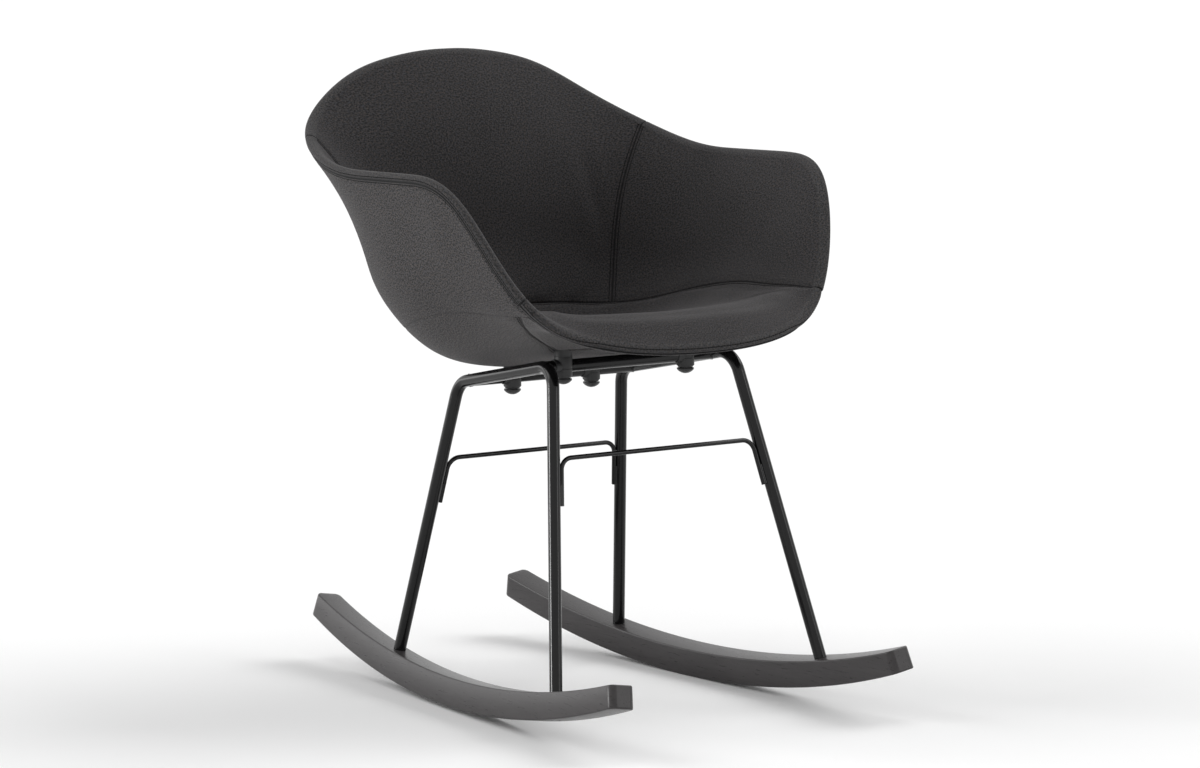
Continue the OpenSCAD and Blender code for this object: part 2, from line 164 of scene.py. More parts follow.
class Bench:
    """Builds the nodes of one material."""

    def __init__(self, name: str) -> None:
        """Starts an empty material of that name."""
        self.material = bpy.data.materials.new(name)
        self.material.use_nodes = True
        self.tree = self.material.node_tree
        self.tree.nodes.clear()

    def node(self, kind: str, settings: dict[str, Any] | None = None,
             inputs: dict[Any, Any] | None = None) -> bpy.types.Node:
        """Adds a node.

        Args:
            kind: the node's type.
            settings: properties of the node, set first.
            inputs: socket name or index to a wire, a socket or a plain value.

        Returns:
            The new node.
        """
        node = self.tree.nodes.new(kind)
        for name, value in (settings or {}).items():
            setattr(node, name, value)
        for name, value in (inputs or {}).items():
            self.feed(node.inputs[name], value)
        return node

    def feed(self, socket: bpy.types.NodeSocket, value: Any) -> None:
        """Links a wire or socket to a socket, or sets its plain value."""
        if isinstance(value, Wire):
            value = value.socket
        if isinstance(value, bpy.types.NodeSocket):
            self.tree.links.new(value, socket)
        elif isinstance(value, tuple) and len(value) == 3 and socket.type == "RGBA":
            socket.default_value = (*value, 1.0)
        else:
            socket.default_value = value

    def math(self, operation: str, *operands: Any, clamp: bool = False) -> Wire:
        """Adds a Math node on wires or numbers and gives its result."""
        settings = {"operation": operation, "use_clamp": clamp}
        return Wire(self, self.node("ShaderNodeMath", settings, dict(enumerate(operands))).outputs[0])

    def object_point(self) -> bpy.types.NodeSocket:
        """Object coordinates, in metres."""
        return self.node("ShaderNodeTexCoord").outputs["Object"]

    def split(self, vector: bpy.types.NodeSocket) -> list[Wire]:
        """The three parts of a vector."""
        parts = self.node("ShaderNodeSeparateXYZ", inputs={0: vector}).outputs
        return [Wire(self, part) for part in parts]

    def join(self, x: Any, y: Any, z: Any = 0.0) -> bpy.types.NodeSocket:
        """A vector from three parts."""
        return self.node("ShaderNodeCombineXYZ", inputs={0: x, 1: y, 2: z}).outputs[0]

    def stretch(self, vector: bpy.types.NodeSocket,
                factors: tuple[float, float, float]) -> bpy.types.NodeSocket:
        """A vector scaled along each axis."""
        inputs = {0: vector, 1: factors}
        return self.node("ShaderNodeVectorMath", {"operation": "MULTIPLY"}, inputs).outputs[0]

    def noise(self, vector: bpy.types.NodeSocket, scale: float, detail: float = 2.0,
              rough: float = 0.5) -> Wire:
        """Smooth noise between 0 and 1."""
        inputs = {"Vector": vector, "Scale": scale, "Detail": detail, "Roughness": rough}
        return Wire(self, self.node("ShaderNodeTexNoise", {"noise_dimensions": "3D"}, inputs).outputs["Fac"])

    def attribute(self, name: str) -> Wire:
        """A number kept on the piece's vertices."""
        return Wire(self, self.node("ShaderNodeAttribute", {"attribute_name": name}).outputs["Fac"])

    def blend(self, factor: Any, low: Any, high: Any) -> bpy.types.NodeSocket:
        """A colour between two colours."""
        return self.node("ShaderNodeMix", {"data_type": "RGBA"}, {0: factor, 6: low, 7: high}).outputs[2]

    def bump(self, height: Wire, strength: float, distance: float) -> bpy.types.NodeSocket:
        """A normal bent by a height; distance is in metres."""
        inputs = {"Strength": strength, "Distance": distance, "Height": height}
        return self.node("ShaderNodeBump", inputs=inputs).outputs[0]

    def surface(self, **inputs: Any) -> bpy.types.Material:
        """Adds the shader and the output, with words of socket names joined by underscores.

        Args:
            inputs: sockets of the shader, such as Base_Color or Roughness.

        Returns:
            The finished material.
        """
        sockets = {name.replace("_", " "): value for name, value in inputs.items()}
        shader = self.node("ShaderNodeBsdfPrincipled", inputs=sockets)
        self.node("ShaderNodeOutputMaterial", inputs={0: shader.outputs[0]})
        return self.material


# ------------------------------------------------------------------ finishes


def tint(shade: Colour, factor: float) -> Colour:
    """A lighter or darker colour."""
    return tuple(min(1.0, part * factor) for part in shade)


@dataclass(frozen=True)
class ClothFinish:
    """Mottled woven upholstery cloth.

    It reads the UV map "cloth" in metres, and the distances to the nearest seam and to its stitches, and from
    these it paints shade into the seam grooves and stitch rows.
    """

    name: str
    dark: Colour
    light: Colour
    warm: Colour
    contrast: float = 1.0
    # colour of the painted shade in seam grooves and along stitch rows
    groove_shade: Colour = (0.004, 0.004, 0.0043)
    yarn: float = 1.25
    pull_pitch: float = 4.2
    relief: float = 0.00035
    nap: float = 0.14

    def build(self) -> bpy.types.Material:
        """Makes the material.

        Returns:
            The finished material.
        """
        bench = Bench(self.name)
        uv = bench.node("ShaderNodeUVMap", {"uv_map": "cloth"}).outputs[0]
        u, v, _ = bench.split(bench.stretch(uv, (TO_MILLIMETRES, TO_MILLIMETRES, 0.0)))
        turn = math.pi / self.yarn
        across, along = (u * turn).sine(), (v * turn).sine()
        over = (across * along * 6.0 + 0.5).held()
        warp = bench.noise(bench.join(u * 0.60, v * 0.36, 3.0), 1.0, 1.5)
        weft = bench.noise(bench.join(u * 0.36, v * 0.60, 9.0), 1.0, 1.5)
        fleck = bench.noise(bench.join(u * 0.42, v * 0.42, 5.0), 1.0, 1.0)
        lot = bench.noise(bench.join(u * 0.30, v * 0.34, 15.0), 1.0, 1.0)
        cloud = bench.noise(bench.object_point(), 11.0, 2.0)
        mottle = over.mix(warp, weft)
        gap, row, run = (bench.attribute("seam_" + word) for word in ("gap", "row", "run"))
        pull = (run * (math.tau / self.pull_pitch)).sine() * 0.5 + 0.5
        tick = pull * row.hump(0.0, 0.9)
        grain = (mottle - 0.5) * 2.3 + (warp + weft - 1.0) * 0.9 + (fleck - 0.5) * 1.5
        tone = (grain * self.contrast + (cloud - 0.5) * 0.35 + 0.5).held()
        bright = bench.blend(((lot - 0.3) * 2.5).held(), self.light, self.warm)
        shade = bench.blend(tone, self.dark, bright)
        # painted shade: darkens the cloth's colour in the seam groove, along the stitch rows and at the
        # dimple by each stitch
        painted_seam_shade = (row.hump(0.0, 0.65) * 0.60 + gap.hump(0.0, 1.35) + tick * 0.10).held()
        shade = bench.blend(painted_seam_shade, shade, self.groove_shade)
        weave = over.mix(across.size(), along.size())
        height = weave * 0.5 + mottle * 0.5 - tick * 0.6 - row.hump(0.0, 0.6) * 0.8
        return bench.surface(
            Base_Color=shade,
            Roughness=0.98 - mottle * 0.12,
            Normal=bench.bump(height, 0.45, self.relief),
            Specular_IOR_Level=0.2,
            Sheen_Weight=self.nap,
            Sheen_Roughness=0.45,
            Sheen_Tint=(0.8, 0.79, 0.8, 1.0),
        )


@dataclass(frozen=True)
class ThreadFinish:
    """Dull black sewing thread."""

    name: str
    shade: Colour

    def build(self) -> bpy.types.Material:
        """Makes the material.

        Returns:
            The finished material.
        """
        bench = Bench(self.name)
        point = bench.object_point()
        ply = bench.noise(point, 2200.0, 1.0)
        lot = bench.noise(point, 60.0, 1.0)
        return bench.surface(
            Base_Color=bench.blend((ply * 0.7 + lot * 0.3).held(), self.shade, tint(self.shade, 2.0)),
            Roughness=0.75 + ply * 0.2,
            Normal=bench.bump(ply, 0.4, 0.0002),
            Specular_IOR_Level=0.1,
        )


@dataclass(frozen=True)
class PowderCoatFinish:
    """Satin powder coat over steel, with its faint skin and rubbed places."""

    name: str
    shade: Colour = (0.0042, 0.0041, 0.0044)

    def build(self) -> bpy.types.Material:
        """Makes the material.

        Returns:
            The finished material.
        """
        bench = Bench(self.name)
        point = bench.object_point()
        skin = bench.noise(point, 700.0, 2.0)
        rub = bench.noise(point, 24.0, 3.0, 0.6)
        return bench.surface(
            Base_Color=bench.blend(((rub - 0.35) * 0.9).held(), self.shade, tint(self.shade, 1.9)),
            Roughness=0.17 + (rub - 0.5) * 0.08 + (skin - 0.5) * 0.06,
            Normal=bench.bump(skin, 0.10, 0.0002),
            Specular_IOR_Level=0.28,
        )


@dataclass(frozen=True)
class StainedWoodFinish:
    """Open-grained wood under a dark stain and a matt lacquer. The grain runs along Y."""

    name: str
    deep: Colour = (0.0285, 0.0262, 0.0268)
    pale: Colour = (0.0470, 0.0432, 0.0440)

    def build(self) -> bpy.types.Material:
        """Makes the material.

        Returns:
            The finished material.
        """
        bench = Bench(self.name)
        point = bench.object_point()
        wander = bench.noise(bench.stretch(point, (6.0, 2.0, 6.0)), 1.0, 2.0)
        x, y, z = bench.split(point)
        drift = (wander - 0.5) * 0.02
        grain = bench.noise(bench.join((x + drift) * 420.0, y * 9.0, (z + drift) * 420.0), 1.0, 3.0, 0.6)
        pores = bench.noise(bench.join((x + drift) * 1300.0, y * 42.0, (z + drift) * 1300.0), 1.0, 2.0, 0.6)
        bands = bench.noise(bench.join((x + drift) * 90.0, y * 2.2, (z + drift) * 90.0), 1.0, 2.0)
        tone = ((grain - 0.5) * 1.2 + (bands - 0.5) * 0.9 + (pores - 0.5) * 0.5 + 0.45).held()
        pit = ((pores - 0.6) * 8.0).held()
        shade = bench.blend(tone, self.deep, self.pale)
        shade = bench.blend(pit * 0.14, shade, tint(self.deep, 0.5))
        return bench.surface(
            Base_Color=shade,
            Roughness=0.30 + (grain - 0.5) * 0.18 + pit * 0.15,
            Normal=bench.bump(grain * 0.4 - pit * 0.7, 0.25, 0.0003),
            Specular_IOR_Level=0.3,
        )


@dataclass(frozen=True)
class MouldedFinish:
    """Black moulded plastic with a fine spark texture."""

    name: str
    shade: Colour = (0.013, 0.013, 0.0135)
    rough: float = 0.5

    def build(self) -> bpy.types.Material:
        """Makes the material.

        Returns:
            The finished material.
        """
        bench = Bench(self.name)
        point = bench.object_point()
        spark = bench.noise(point, 1500.0, 2.0)
        flow = bench.noise(point, 45.0, 2.0)
        return bench.surface(
            Base_Color=bench.blend(flow, tint(self.shade, 0.8), tint(self.shade, 1.4)),
            Roughness=self.rough + (flow - 0.5) * 0.15,
            Normal=bench.bump(spark, 0.25, 0.00015),
        )


@dataclass(frozen=True)
class MetalFinish:
    """Bare metal with fine drawn marks."""

    name: str
    shade: Colour
    rough: float = 0.32

    def build(self) -> bpy.types.Material:
        """Makes the material.

        Returns:
            The finished material.
        """
        bench = Bench(self.name)
        point = bench.object_point()
        marks = bench.noise(bench.stretch(point, (900.0, 900.0, 60.0)), 1.0, 2.0)
        stain = bench.noise(point, 70.0, 2.0)
        return bench.surface(
            Base_Color=bench.blend(stain, tint(self.shade, 0.75), self.shade),
            Metallic=1.0,
            Roughness=self.rough + (marks - 0.5) * 0.2,
            Normal=bench.bump(marks, 0.15, 0.0001),
        )


# ------------------------------------------------------------- bucket's form


def sin_degrees(a: Array) -> Array:
    """Sine of an angle in degrees."""
    return np.sin(np.radians(a))


def cos_degrees(a: Array) -> Array:
    """Cosine of an angle in degrees."""
    return np.cos(np.radians(a))


def ramp(t: Array) -> Array:
    """Half a cosine wave from 0 to 1."""
    return (1.0 - np.cos(np.pi * np.clip(t, 0.0, 1.0))) / 2.0


def smooth(t: Array) -> Array:
    """Cubic step from 0 to 1."""
    c = np.clip(t, 0.0, 1.0)
    return c * c * (3.0 - 2.0 * c)


def unit(v: Array) -> Array:
    """Vectors of length 1."""
    return v / np.maximum(np.linalg.norm(v, axis=-1, keepdims=True), 1e-9)


def fold(a: Array) -> Array:
    """Distance in degrees from straight back, 0 to 180."""
    a = np.mod(a, 360.0)
    return np.where(a <= 180.0, a, 360.0 - a)


# Steps and weights of the average that eases a profile.
EASING = ((-2, 1 / 16), (-1, 4 / 16), (0, 6 / 16), (1, 4 / 16), (2, 1 / 16))


class Layer(Enum):
    """The surfaces of the bucket's wall, from inside out."""

    INNER_CLOTH = 0
    SHELL_INSIDE = 1
    SHELL_OUTSIDE = 2
    OUTER_CLOTH = 3


@dataclass(frozen=True)
class BucketForm:
    """The moulded bucket.

    Columns of 0 to 60 run round it, and rows of 0 to 16 run from the seat's middle to the rim. In what
    follows a is a direction in degrees, c a column, k a row and u a place along the profile.
    """

    rim_width: float = 562.0
    back_height: float = 821.0
    arm_height: float = 693.0
    lip_height: float = 480.0
    rim_back: float = 404.0
    rim_front: float = 200.0
    rim_square_back: float = 4.8
    rim_square_front: float = 2.2
    seat_height: float = 475.0
    seat_rise: float = 0.2
    seat_width: float = 400.0
    seat_dish: float = 8.0
    wall_swell: float = 8.0
    lumbar: float = 12.0
    rim_flare: float = 20.0
    wall_t: float = 18.0
    seat_t: float = 37.0
    rim_t: float = 14.0
    shell_t: float = 4.0
    cover_t: float = 4.5
    bead_h: float = 12.0
    rim_yc: float = -96.0
    seat_yc: float = -60.0
    seat_back: float = 235.0
    seat_front: float = 185.0
    side_rise: float = 12.0
    junction: float = 42.0
    crossing: float = 123.0
    columns: int = 60
    seat_rows: int = 8
    wall_rows: int = 8
    edge_gap: float = 10.0
    rim_shoulder: float = 6.8

    def outline(self, a: Array, w: float, back: float, front: float, nb: float, nf: float) -> Array:
        """Distance from the centre to a rounded box in direction a.

        Args:
            a: directions.
            w: half its width.
            back: its reach backward.
            front: its reach forward.
            nb: how square its back is.
            nf: how square its front is.

        Returns:
            The distances.
        """
        s, c = np.abs(sin_degrees(a)), cos_degrees(a)
        length, n = np.where(c > 0, back, front), np.where(c > 0, nb, nf)
        return ((s / w) ** n + (np.abs(c) / length) ** n) ** (-1.0 / n)

    def rim(self, a: Array) -> Array:
        """Points of the rim in direction a.

        Args:
            a: directions.

        Returns:
            The points.
        """
        r = self.outline(a, self.rim_width / 2, self.rim_back, self.rim_front,
                         self.rim_square_back, self.rim_square_front)
        y = self.rim_yc + r * cos_degrees(a)
        m = fold(a)
        rb = ramp(np.minimum(1.0, m / 62.4) ** 1.17)
        q = ramp((m - 66.5) / 113.5) ** 3.5
        ft = q * 1.0353 / (q + 0.0353)
        z = (self.arm_height + (self.back_height - self.arm_height) * (1 - rb) ** 1.54
             + (self.lip_height - self.arm_height) * ft - 0.0244 * y * (1 - ft) * rb
             + self.rim_shoulder * np.exp(-(((m - 20.5) / 8.5) ** 2)))
        return np.stack([r * sin_degrees(a), y, z], -1)

    def knee(self, a: Array) -> Array:
        """Points where the seat turns up into the wall.

        Args:
            a: directions.

        Returns:
            The points.
        """
        r = self.outline(a, self.seat_width / 2, self.seat_back, self.seat_front, 3.0, 3.0)
        y = self.seat_yc + r * cos_degrees(a)
        z = self.seat_height - self.seat_rise * y + self.side_rise * sin_degrees(a) ** 2
        return np.stack([r * sin_degrees(a), y, z], -1)

    def profile(self, a: Array, u: Array) -> Array:
        """Points of the inner cloth, from the seat's middle at u = 0 over the knee to the rim at u = 3.

        Args:
            a: directions.
            u: places along the profile.

        Returns:
            The points.
        """
        o = np.array([0.0, 0.0, self.seat_height - self.seat_dish])
        k, r = self.knee(a), self.rim(a)
        p, q = o + (k - o) * 0.65, k + (r - k) * 0.33
        first = o + (p - o) * u[..., None]
        t = (u - 1.0)[..., None]
        second = p * (1 - t) ** 2 + k * 2 * t * (1 - t) + q * t * t
        t = (u - 2.0)[..., None]
        tall = np.clip((r[..., 2] - k[..., 2]) / 250.0, 0.0, 1.0)[..., None]
        out = unit(np.stack([r[..., 0], r[..., 1] - self.rim_yc, np.zeros_like(r[..., 0])], -1))
        cb = np.maximum(0.0, cos_degrees(a))[..., None]
        swell = ((self.wall_swell * (1 - cb) - self.lumbar * cb) * 4 * t * (1 - t)
                 + self.rim_flare * (t ** 3 - t))
        third = q * (1 - t) + r * t + out * tall * swell
        uu = u[..., None]
        return np.where(uu <= 1.0, first, np.where(uu <= 2.0, second, third))

    def edge_u(self, a: Array) -> Array:
        """Where the panels stop below the rim."""
        return 3.0 - self.edge_gap / (0.67 * np.linalg.norm(self.rim(a) - self.knee(a), axis=-1))

    def seam_u(self, a: Array) -> Array:
        """Where the seat's seam runs.

        Args:
            a: directions.

        Returns:
            Its u in each direction.
        """
        x = np.clip((fold(a) - self.junction) / (self.crossing - self.junction), 0.0, 1.0)
        e = self.edge_u(a)
        low, high = self.profile(a, np.full_like(e, 1.6))[..., 2], self.profile(a, e)[..., 2]
        turn = np.array([self.crossing])
        level = float(self.profile(turn, self.edge_u(turn))[0, 2])
        climb = np.where(np.abs(high - low) < 1e-6, 1e-6, high - low)
        part = np.clip((level - low) * np.sin(np.pi / 2 * x) ** 1.3 / climb, 0.0, 1.0)
        return np.where(x >= 1.0, e, 1.6 + (e - 1.6) * part)

    def direction(self, c: Array) -> Array:
        """Direction of a column in degrees.

        Args:
            c: columns.

        Returns:
            Their directions, closer where the rim bends.
        """
        a = np.mod(6.0 * c, 360.0)
        m = fold(a)
        shift = np.where(m < 60.0, 4.3 * sin_degrees(6.0 * m), 3.0 * sin_degrees(1.5 * (m - 60.0)))
        return a + np.where(a <= 180.0, shift, -shift)

    def place(self, c: Array, k: Array) -> tuple[Array, Array, Array]:
        """Direction of the column, direction of the point, and u of the point.

        Args:
            c: columns.
            k: rows.

        Returns:
            The three for each point.
        """
        a = self.direction(c)
        seam, edge = self.seam_u(a), self.edge_u(a)
        on_wall = seam + (edge - seam) * (k - self.seat_rows) / self.wall_rows
        u = np.where(k <= self.seat_rows, seam * k / self.seat_rows, on_wall)
        f = (k - self.seat_rows) / self.wall_rows
        b = np.where(k < self.seat_rows, 1.1 * k / self.seat_rows,
                     2 * (1 - f) + 2 * sin_degrees(180.0 * f) - 0.9)
        m = fold(a)
        hand = np.where(np.mod(a, 360.0) <= 180.0, -1.0, 1.0)
        bow = hand * b * np.exp(-(((m - 38.0) / 22.0) ** 2)) * smooth(m / 14.0)
        return a, a + bow, u

    def eased(self, a: Array, u: Array) -> Array:
        """The profile with its bends eased, as padding eases them."""
        step = 0.07 * smooth(u / 0.5)
        return sum(self.profile(a, u + step * place) * weight for place, weight in EASING)

    def inner(self, c: Array, k: Array) -> Array:
        """Points of the inner cloth."""
        _, a, u = self.place(c, k)
        return self.eased(a, u)

    def outward(self, c: Array, k: Array) -> Array:
        """Direction from the inner cloth towards the shell.

        Args:
            c: columns.
            k: rows.

        Returns:
            Vectors of length 1.
        """
        _, a, u = self.place(c, k)
        u = np.maximum(u, 0.08)
        du = self.eased(a, u + 0.05) - self.eased(a, u - 0.05)
        da = self.eased(a + 0.6, u) - self.eased(a - 0.6, u)
        return unit(np.cross(du, da))

    def thickness(self, c: Array, k: Array) -> Array:
        """Thickness of the whole wall.

        Args:
            c: columns.
            k: rows.

        Returns:
            The thickness at each point.
        """
        a, _, u = self.place(c, k)
        f = np.clip((k - self.seat_rows) / self.wall_rows, 0.0, 1.0)
        wrapped = np.mod(c, self.columns)
        near = np.clip(np.minimum(wrapped - 19.0, 41.0 - wrapped), 0.0, 1.0)
        lip = near * smooth((u - 1.6) / (self.edge_u(a) - 1.6))
        base = self.wall_t + (self.seat_t - self.wall_t) * (1.0 - smooth((u - 0.6) / 1.2))
        return base - (self.wall_t - self.rim_t) * np.maximum(f * f, lip)

    def skin(self, c: Array, k: Array, layer: Layer) -> Array:
        """Points of one surface of the wall.

        Args:
            c: columns.
            k: rows.
            layer: which surface.

        Returns:
            The points.
        """
        if layer is Layer.INNER_CLOTH:
            return self.inner(c, k)
        inside = (0.0, self.cover_t + self.shell_t, self.cover_t, 0.0)[layer.value]
        return self.inner(c, k) + self.outward(c, k) * (self.thickness(c, k) - inside)[..., None]


# ------------------------------------------------------------- mesh and help


def linked(name: str, data: bpy.types.ID) -> bpy.types.Object:
    """Puts a new object into the scene.

    Args:
        name: its name.
        data: its mesh, lamp or camera.

    Returns:
        The object.
    """
    made = bpy.data.objects.new(name, data)
    bpy.context.scene.collection.objects.link(made)
    return made


def beside(ids: Array, closed: bool) -> tuple[Array, Array]:
    """The point numbers of a grid and those of the next column; closed says that its rows close round."""
    return (ids, np.roll(ids, -1, 1)) if closed else (ids[:, :-1], ids[:, 1:])


def cells(ids: Array, closed: bool) -> Array:
    """The four corners of each cell of a grid of point numbers."""
    here, after = beside(ids, closed)
    return np.stack([here[:-1], after[:-1], after[1:], here[1:]], -1).reshape(-1, 4)


def make_piece(name: str, points: Array, faces: Sequence[Sequence[int]],
               material: bpy.types.Material, maps: Array | None = None,
               marks: dict[str, Array] | None = None) -> bpy.types.Object:
    """Makes a closed, smooth piece at the origin.

    Args:
        name: the piece's name.
        points: its points in the drawing's frame.
        faces: its faces.
        material: its finish.
        maps: a UV in metres for each point.
        marks: numbers kept on each point.

    Returns:
        The new object.
    """
    mesh = bpy.data.meshes.new(name)
    mesh.from_pydata(((points + FORWARD_SHIFT) * TO_METRES).tolist(), [], faces)
    if maps is not None:
        layer = mesh.uv_layers.new(name="cloth")
        corner = np.empty(len(mesh.loops), np.int32)
        mesh.loops.foreach_get("vertex_index", corner)
        layer.data.foreach_set("uv", maps[corner].astype(np.float32).ravel())
    for mark, values in (marks or {}).items():
        mesh.attributes.new(mark, "FLOAT", "POINT").data.foreach_set("value", values.astype(np.float32))
    work = bmesh.new()
    work.from_mesh(mesh)
    bmesh.ops.remove_doubles(work, verts=work.verts, dist=2e-6)
    bmesh.ops.dissolve_degenerate(work, dist=1e-6, edges=work.edges)
    bmesh.ops.recalc_face_normals(work, faces=work.faces)
    work.to_mesh(mesh)
    work.free()
    mesh.shade_smooth()
    mesh.materials.append(material)
    piece = linked(name, mesh)
    return piece


def settle(piece: bpy.types.Object) -> bpy.types.Object:
    """Turns a piece's modifiers into plain mesh.

    Args:
        piece: the piece.

    Returns:
        The same piece.
    """
    graph = bpy.context.evaluated_depsgraph_get()
    made = bpy.data.meshes.new_from_object(
        piece.evaluated_get(graph), preserve_all_data_layers=True, depsgraph=graph)
    piece.modifiers.clear()
    old, piece.data = piece.data, made
    bpy.data.meshes.remove(old)
    return piece


def report(piece: bpy.types.Object) -> bpy.types.Object:
    """Rides a finished piece on the chair and writes a line on it.

    Args:
        piece: the piece.

    Returns:
        The same piece.
    """
    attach(piece, BODY)
    LOG.info("%s: %d faces", piece.name, len(piece.data.polygons))
    return piece


def merged_copy(node: bpy.types.Object, name: str, material: bpy.types.Material,
                angle: float) -> bpy.types.Object:
    """A copy of a solid with its faces joined and smooth shading.

    Args:
        node: the solid.
        name: the new piece's name.
        material: its finish.
        angle: edges sharper than this, in degrees, stay crisp.

    Returns:
        The new piece, which stands for the solid.
    """
    mesh = node.data.copy()
    mesh.name = name
    work = bmesh.new()
    work.from_mesh(mesh)
    bmesh.ops.remove_doubles(work, verts=work.verts, dist=1e-6)
    bmesh.ops.dissolve_limit(work, angle_limit=math.radians(0.6), verts=work.verts, edges=work.edges)
    work.to_mesh(mesh)
    work.free()
    if mesh.has_custom_normals:
        mesh.attributes.remove(mesh.attributes["custom_normal"])
    mesh.materials.clear()
    mesh.materials.append(material)
    mesh.shade_smooth()
    piece = linked(name, mesh)
    piece.data.set_sharp_from_angle(angle=math.radians(angle))
    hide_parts(node.name)
    return piece


# -------------------------------------------------------------- upholstery


@dataclass(frozen=True)
class SeamShape:
    """How cloth lies beside a seam, in millimetres.

    The dents are (place, width, depth). Then follow the sink of the cloth and its reach, the place of the
    row of stitches, how far a panel's edge lies from the seam, and how far the painted shade of the groove is
    shifted, which makes the seam look more or less tightly closed.
    """

    dents: tuple[tuple[float, float, float], ...] = ()
    sink: float = 0.0
    reach: float = 1.0
    row: float = FAR_AWAY
    offset: float = 0.0
    # shifts where the painted groove shade falls; it doesn't change the cloth's shape
    closed: float = 0.0

    def height(self, d: Array) -> Array:
        """Height of the cloth at a distance d from the seam.

        Args:
            d: distances.

        Returns:
            The heights.
        """
        h = -self.sink * (1.0 - smooth(d / self.reach))
        for place, width, depth in self.dents:
            h = h - depth * np.exp(-(((d - place) / width) ** 2))
        return h


ROLL_DENTS = ((0.0, 1.1, 0.75), (3.9, 0.8, 0.35))


class Edge(Enum):
    """The ways in which a panel or a roll is sewn."""

    FLUSH = SeamShape()
    TWIN = SeamShape(((0.0, 1.1, 1.3), (4.2, 0.9, 0.6)), 1.1, 15.0, 4.2)
    TUCKED = SeamShape(((0.0, 1.3, 1.8),), 1.6, 12.0)
    RIDGED = SeamShape(((0.0, 1.2, 2.0), (4.2, 0.9, 0.6)), 1.0, 16.0, 4.2)
    FAINT = SeamShape(((0.0, 1.4, 0.35),), 0.30, 10.0, closed=1.2)
    ROLLED = SeamShape(ROLL_DENTS, 0.7, 12.0, 3.9, closed=-0.7)
    BY_RIM = SeamShape(ROLL_DENTS, 0.7, 12.0, 3.9, 4.0)
    LIPPED = SeamShape(((0.0, 2.0, 1.5), (6.9, 0.9, 0.35)), 0.7, 12.0, 6.9, closed=-0.7)
    PLAIN = SeamShape(((0.0, 1.1, 0.75),), 0.7, 12.0)
    APRON = SeamShape(((0.0, 1.0, 1.0), (3.9, 0.8, 0.45)), 0.8, 11.0, 3.9)


@dataclass
class SeamMarks:
    """What the seams do at each point of a grid.

    That is the height, the distances to the nearest seam and to its row of stitches, and the length along it.
    From the two distances the cloth's finish paints shade into the seam's groove and rows.
    """

    height: Array
    gap: Array
    row: Array
    run: Array

    @classmethod
    def blank(cls, shape: tuple[int, ...]) -> "SeamMarks":
        """A grid with no seam near."""
        return cls(np.zeros(shape), np.full(shape, FAR_AWAY), np.full(shape, FAR_AWAY), np.zeros(shape))

    def sew(self, edge: Edge, distance: Array, along: Array, share: Array | float = 1.0) -> None:
        """Adds one seam.

        Args:
            edge: how it is sewn.
            distance: distance of each point from the panel's edge.
            along: length along the edge.
            share: 0 where it isn't sewn and 1 where it is.
        """
        away = distance + edge.value.offset
        self.height = self.height + share * edge.value.height(away)
        if edge is Edge.FLUSH:
            return
        nearer = (away < self.gap) & (share > 0.5)
        self.gap = np.where(nearer, away + edge.value.closed, self.gap)
        self.row = np.where(nearer, away - edge.value.row, self.row)
        self.run = np.where(nearer, along, self.run)

    def kept(self) -> dict[str, Array]:
        """The numbers that the cloth's finish reads."""
        return {"seam_gap": self.gap, "seam_row": self.row, "seam_run": self.run}


@dataclass(frozen=True)
class PadSimulation:
    """Presses the foam against its cover as a cloth sheet held at its seams."""

    frames: int = 14
    pressure: float = 3.0
    cap: float = 4.5
    quality: int = 6
    mass: float = 0.25
    stiffness: float = 25.0
    bending: float = 2.0
    columns: int = 44
    round_columns: int = 60
    rows: int = 30

    def run(self, name: str, grid: Array, normal: Array, wrap: bool) -> Array:
        """Runs the cloth on a coarse sheet.

        Args:
            name: name of the sheet while it runs.
            grid: its points, rows by columns by 3, in millimetres.
            normal: its directions towards the free side.
            wrap: whether its columns close round.

        Returns:
            How far each point rises, in millimetres.
        """
        rows, cols = grid.shape[:2]
        points, free = grid.reshape(-1, 3), normal.reshape(-1, 3)
        ids = np.arange(rows * cols).reshape(rows, cols)
        quads = cells(ids, wrap)
        mesh = bpy.data.meshes.new(name)
        mesh.from_pydata((points * TO_METRES).tolist(), [], quads.tolist())
        mesh.update()
        sheet = linked(name, mesh)
        middle = len(quads) // 2
        if np.array(mesh.polygons[middle].normal) @ free[quads[middle][0]] < 0:
            mesh.flip_normals()
        border = [ids[-1]] if wrap else [ids[-1], ids[0], ids[:, 0], ids[:, -1]]
        held = sheet.vertex_groups.new(name="seams")
        held.add(np.unique(np.concatenate(border)).tolist(), 1.0, "REPLACE")
        cloth = sheet.modifiers.new("cover", "CLOTH")
        cloth.settings.quality = self.quality
        cloth.settings.mass = self.mass
        cloth.settings.tension_stiffness = cloth.settings.compression_stiffness = self.stiffness
        cloth.settings.bending_stiffness = self.bending
        cloth.settings.vertex_group_mass = "seams"
        cloth.settings.use_pressure = True
        cloth.settings.uniform_pressure_force = self.pressure
        cloth.settings.effector_weights.gravity = 0.0
        cloth.collision_settings.use_self_collision = False
        cloth.collision_settings.use_collision = False
        cloth.point_cache.frame_start, cloth.point_cache.frame_end = 1, self.frames
        for frame in range(1, self.frames + 1):
            bpy.context.scene.frame_set(frame)
        done = sheet.evaluated_get(bpy.context.evaluated_depsgraph_get()).data
        moved = np.empty(rows * cols * 3)
        done.vertices.foreach_get("co", moved)
        rise = ((moved.reshape(-1, 3) * TO_MILLIMETRES - points) * free).sum(-1)
        bpy.data.objects.remove(sheet)
        bpy.data.meshes.remove(mesh)
        bpy.context.scene.frame_set(1)
        LOG.info("%s: cloth rose %.1f mm at most", name, rise.max())
        return (self.cap * np.tanh(np.maximum(rise, 0.0) / self.cap)).reshape(rows, cols)


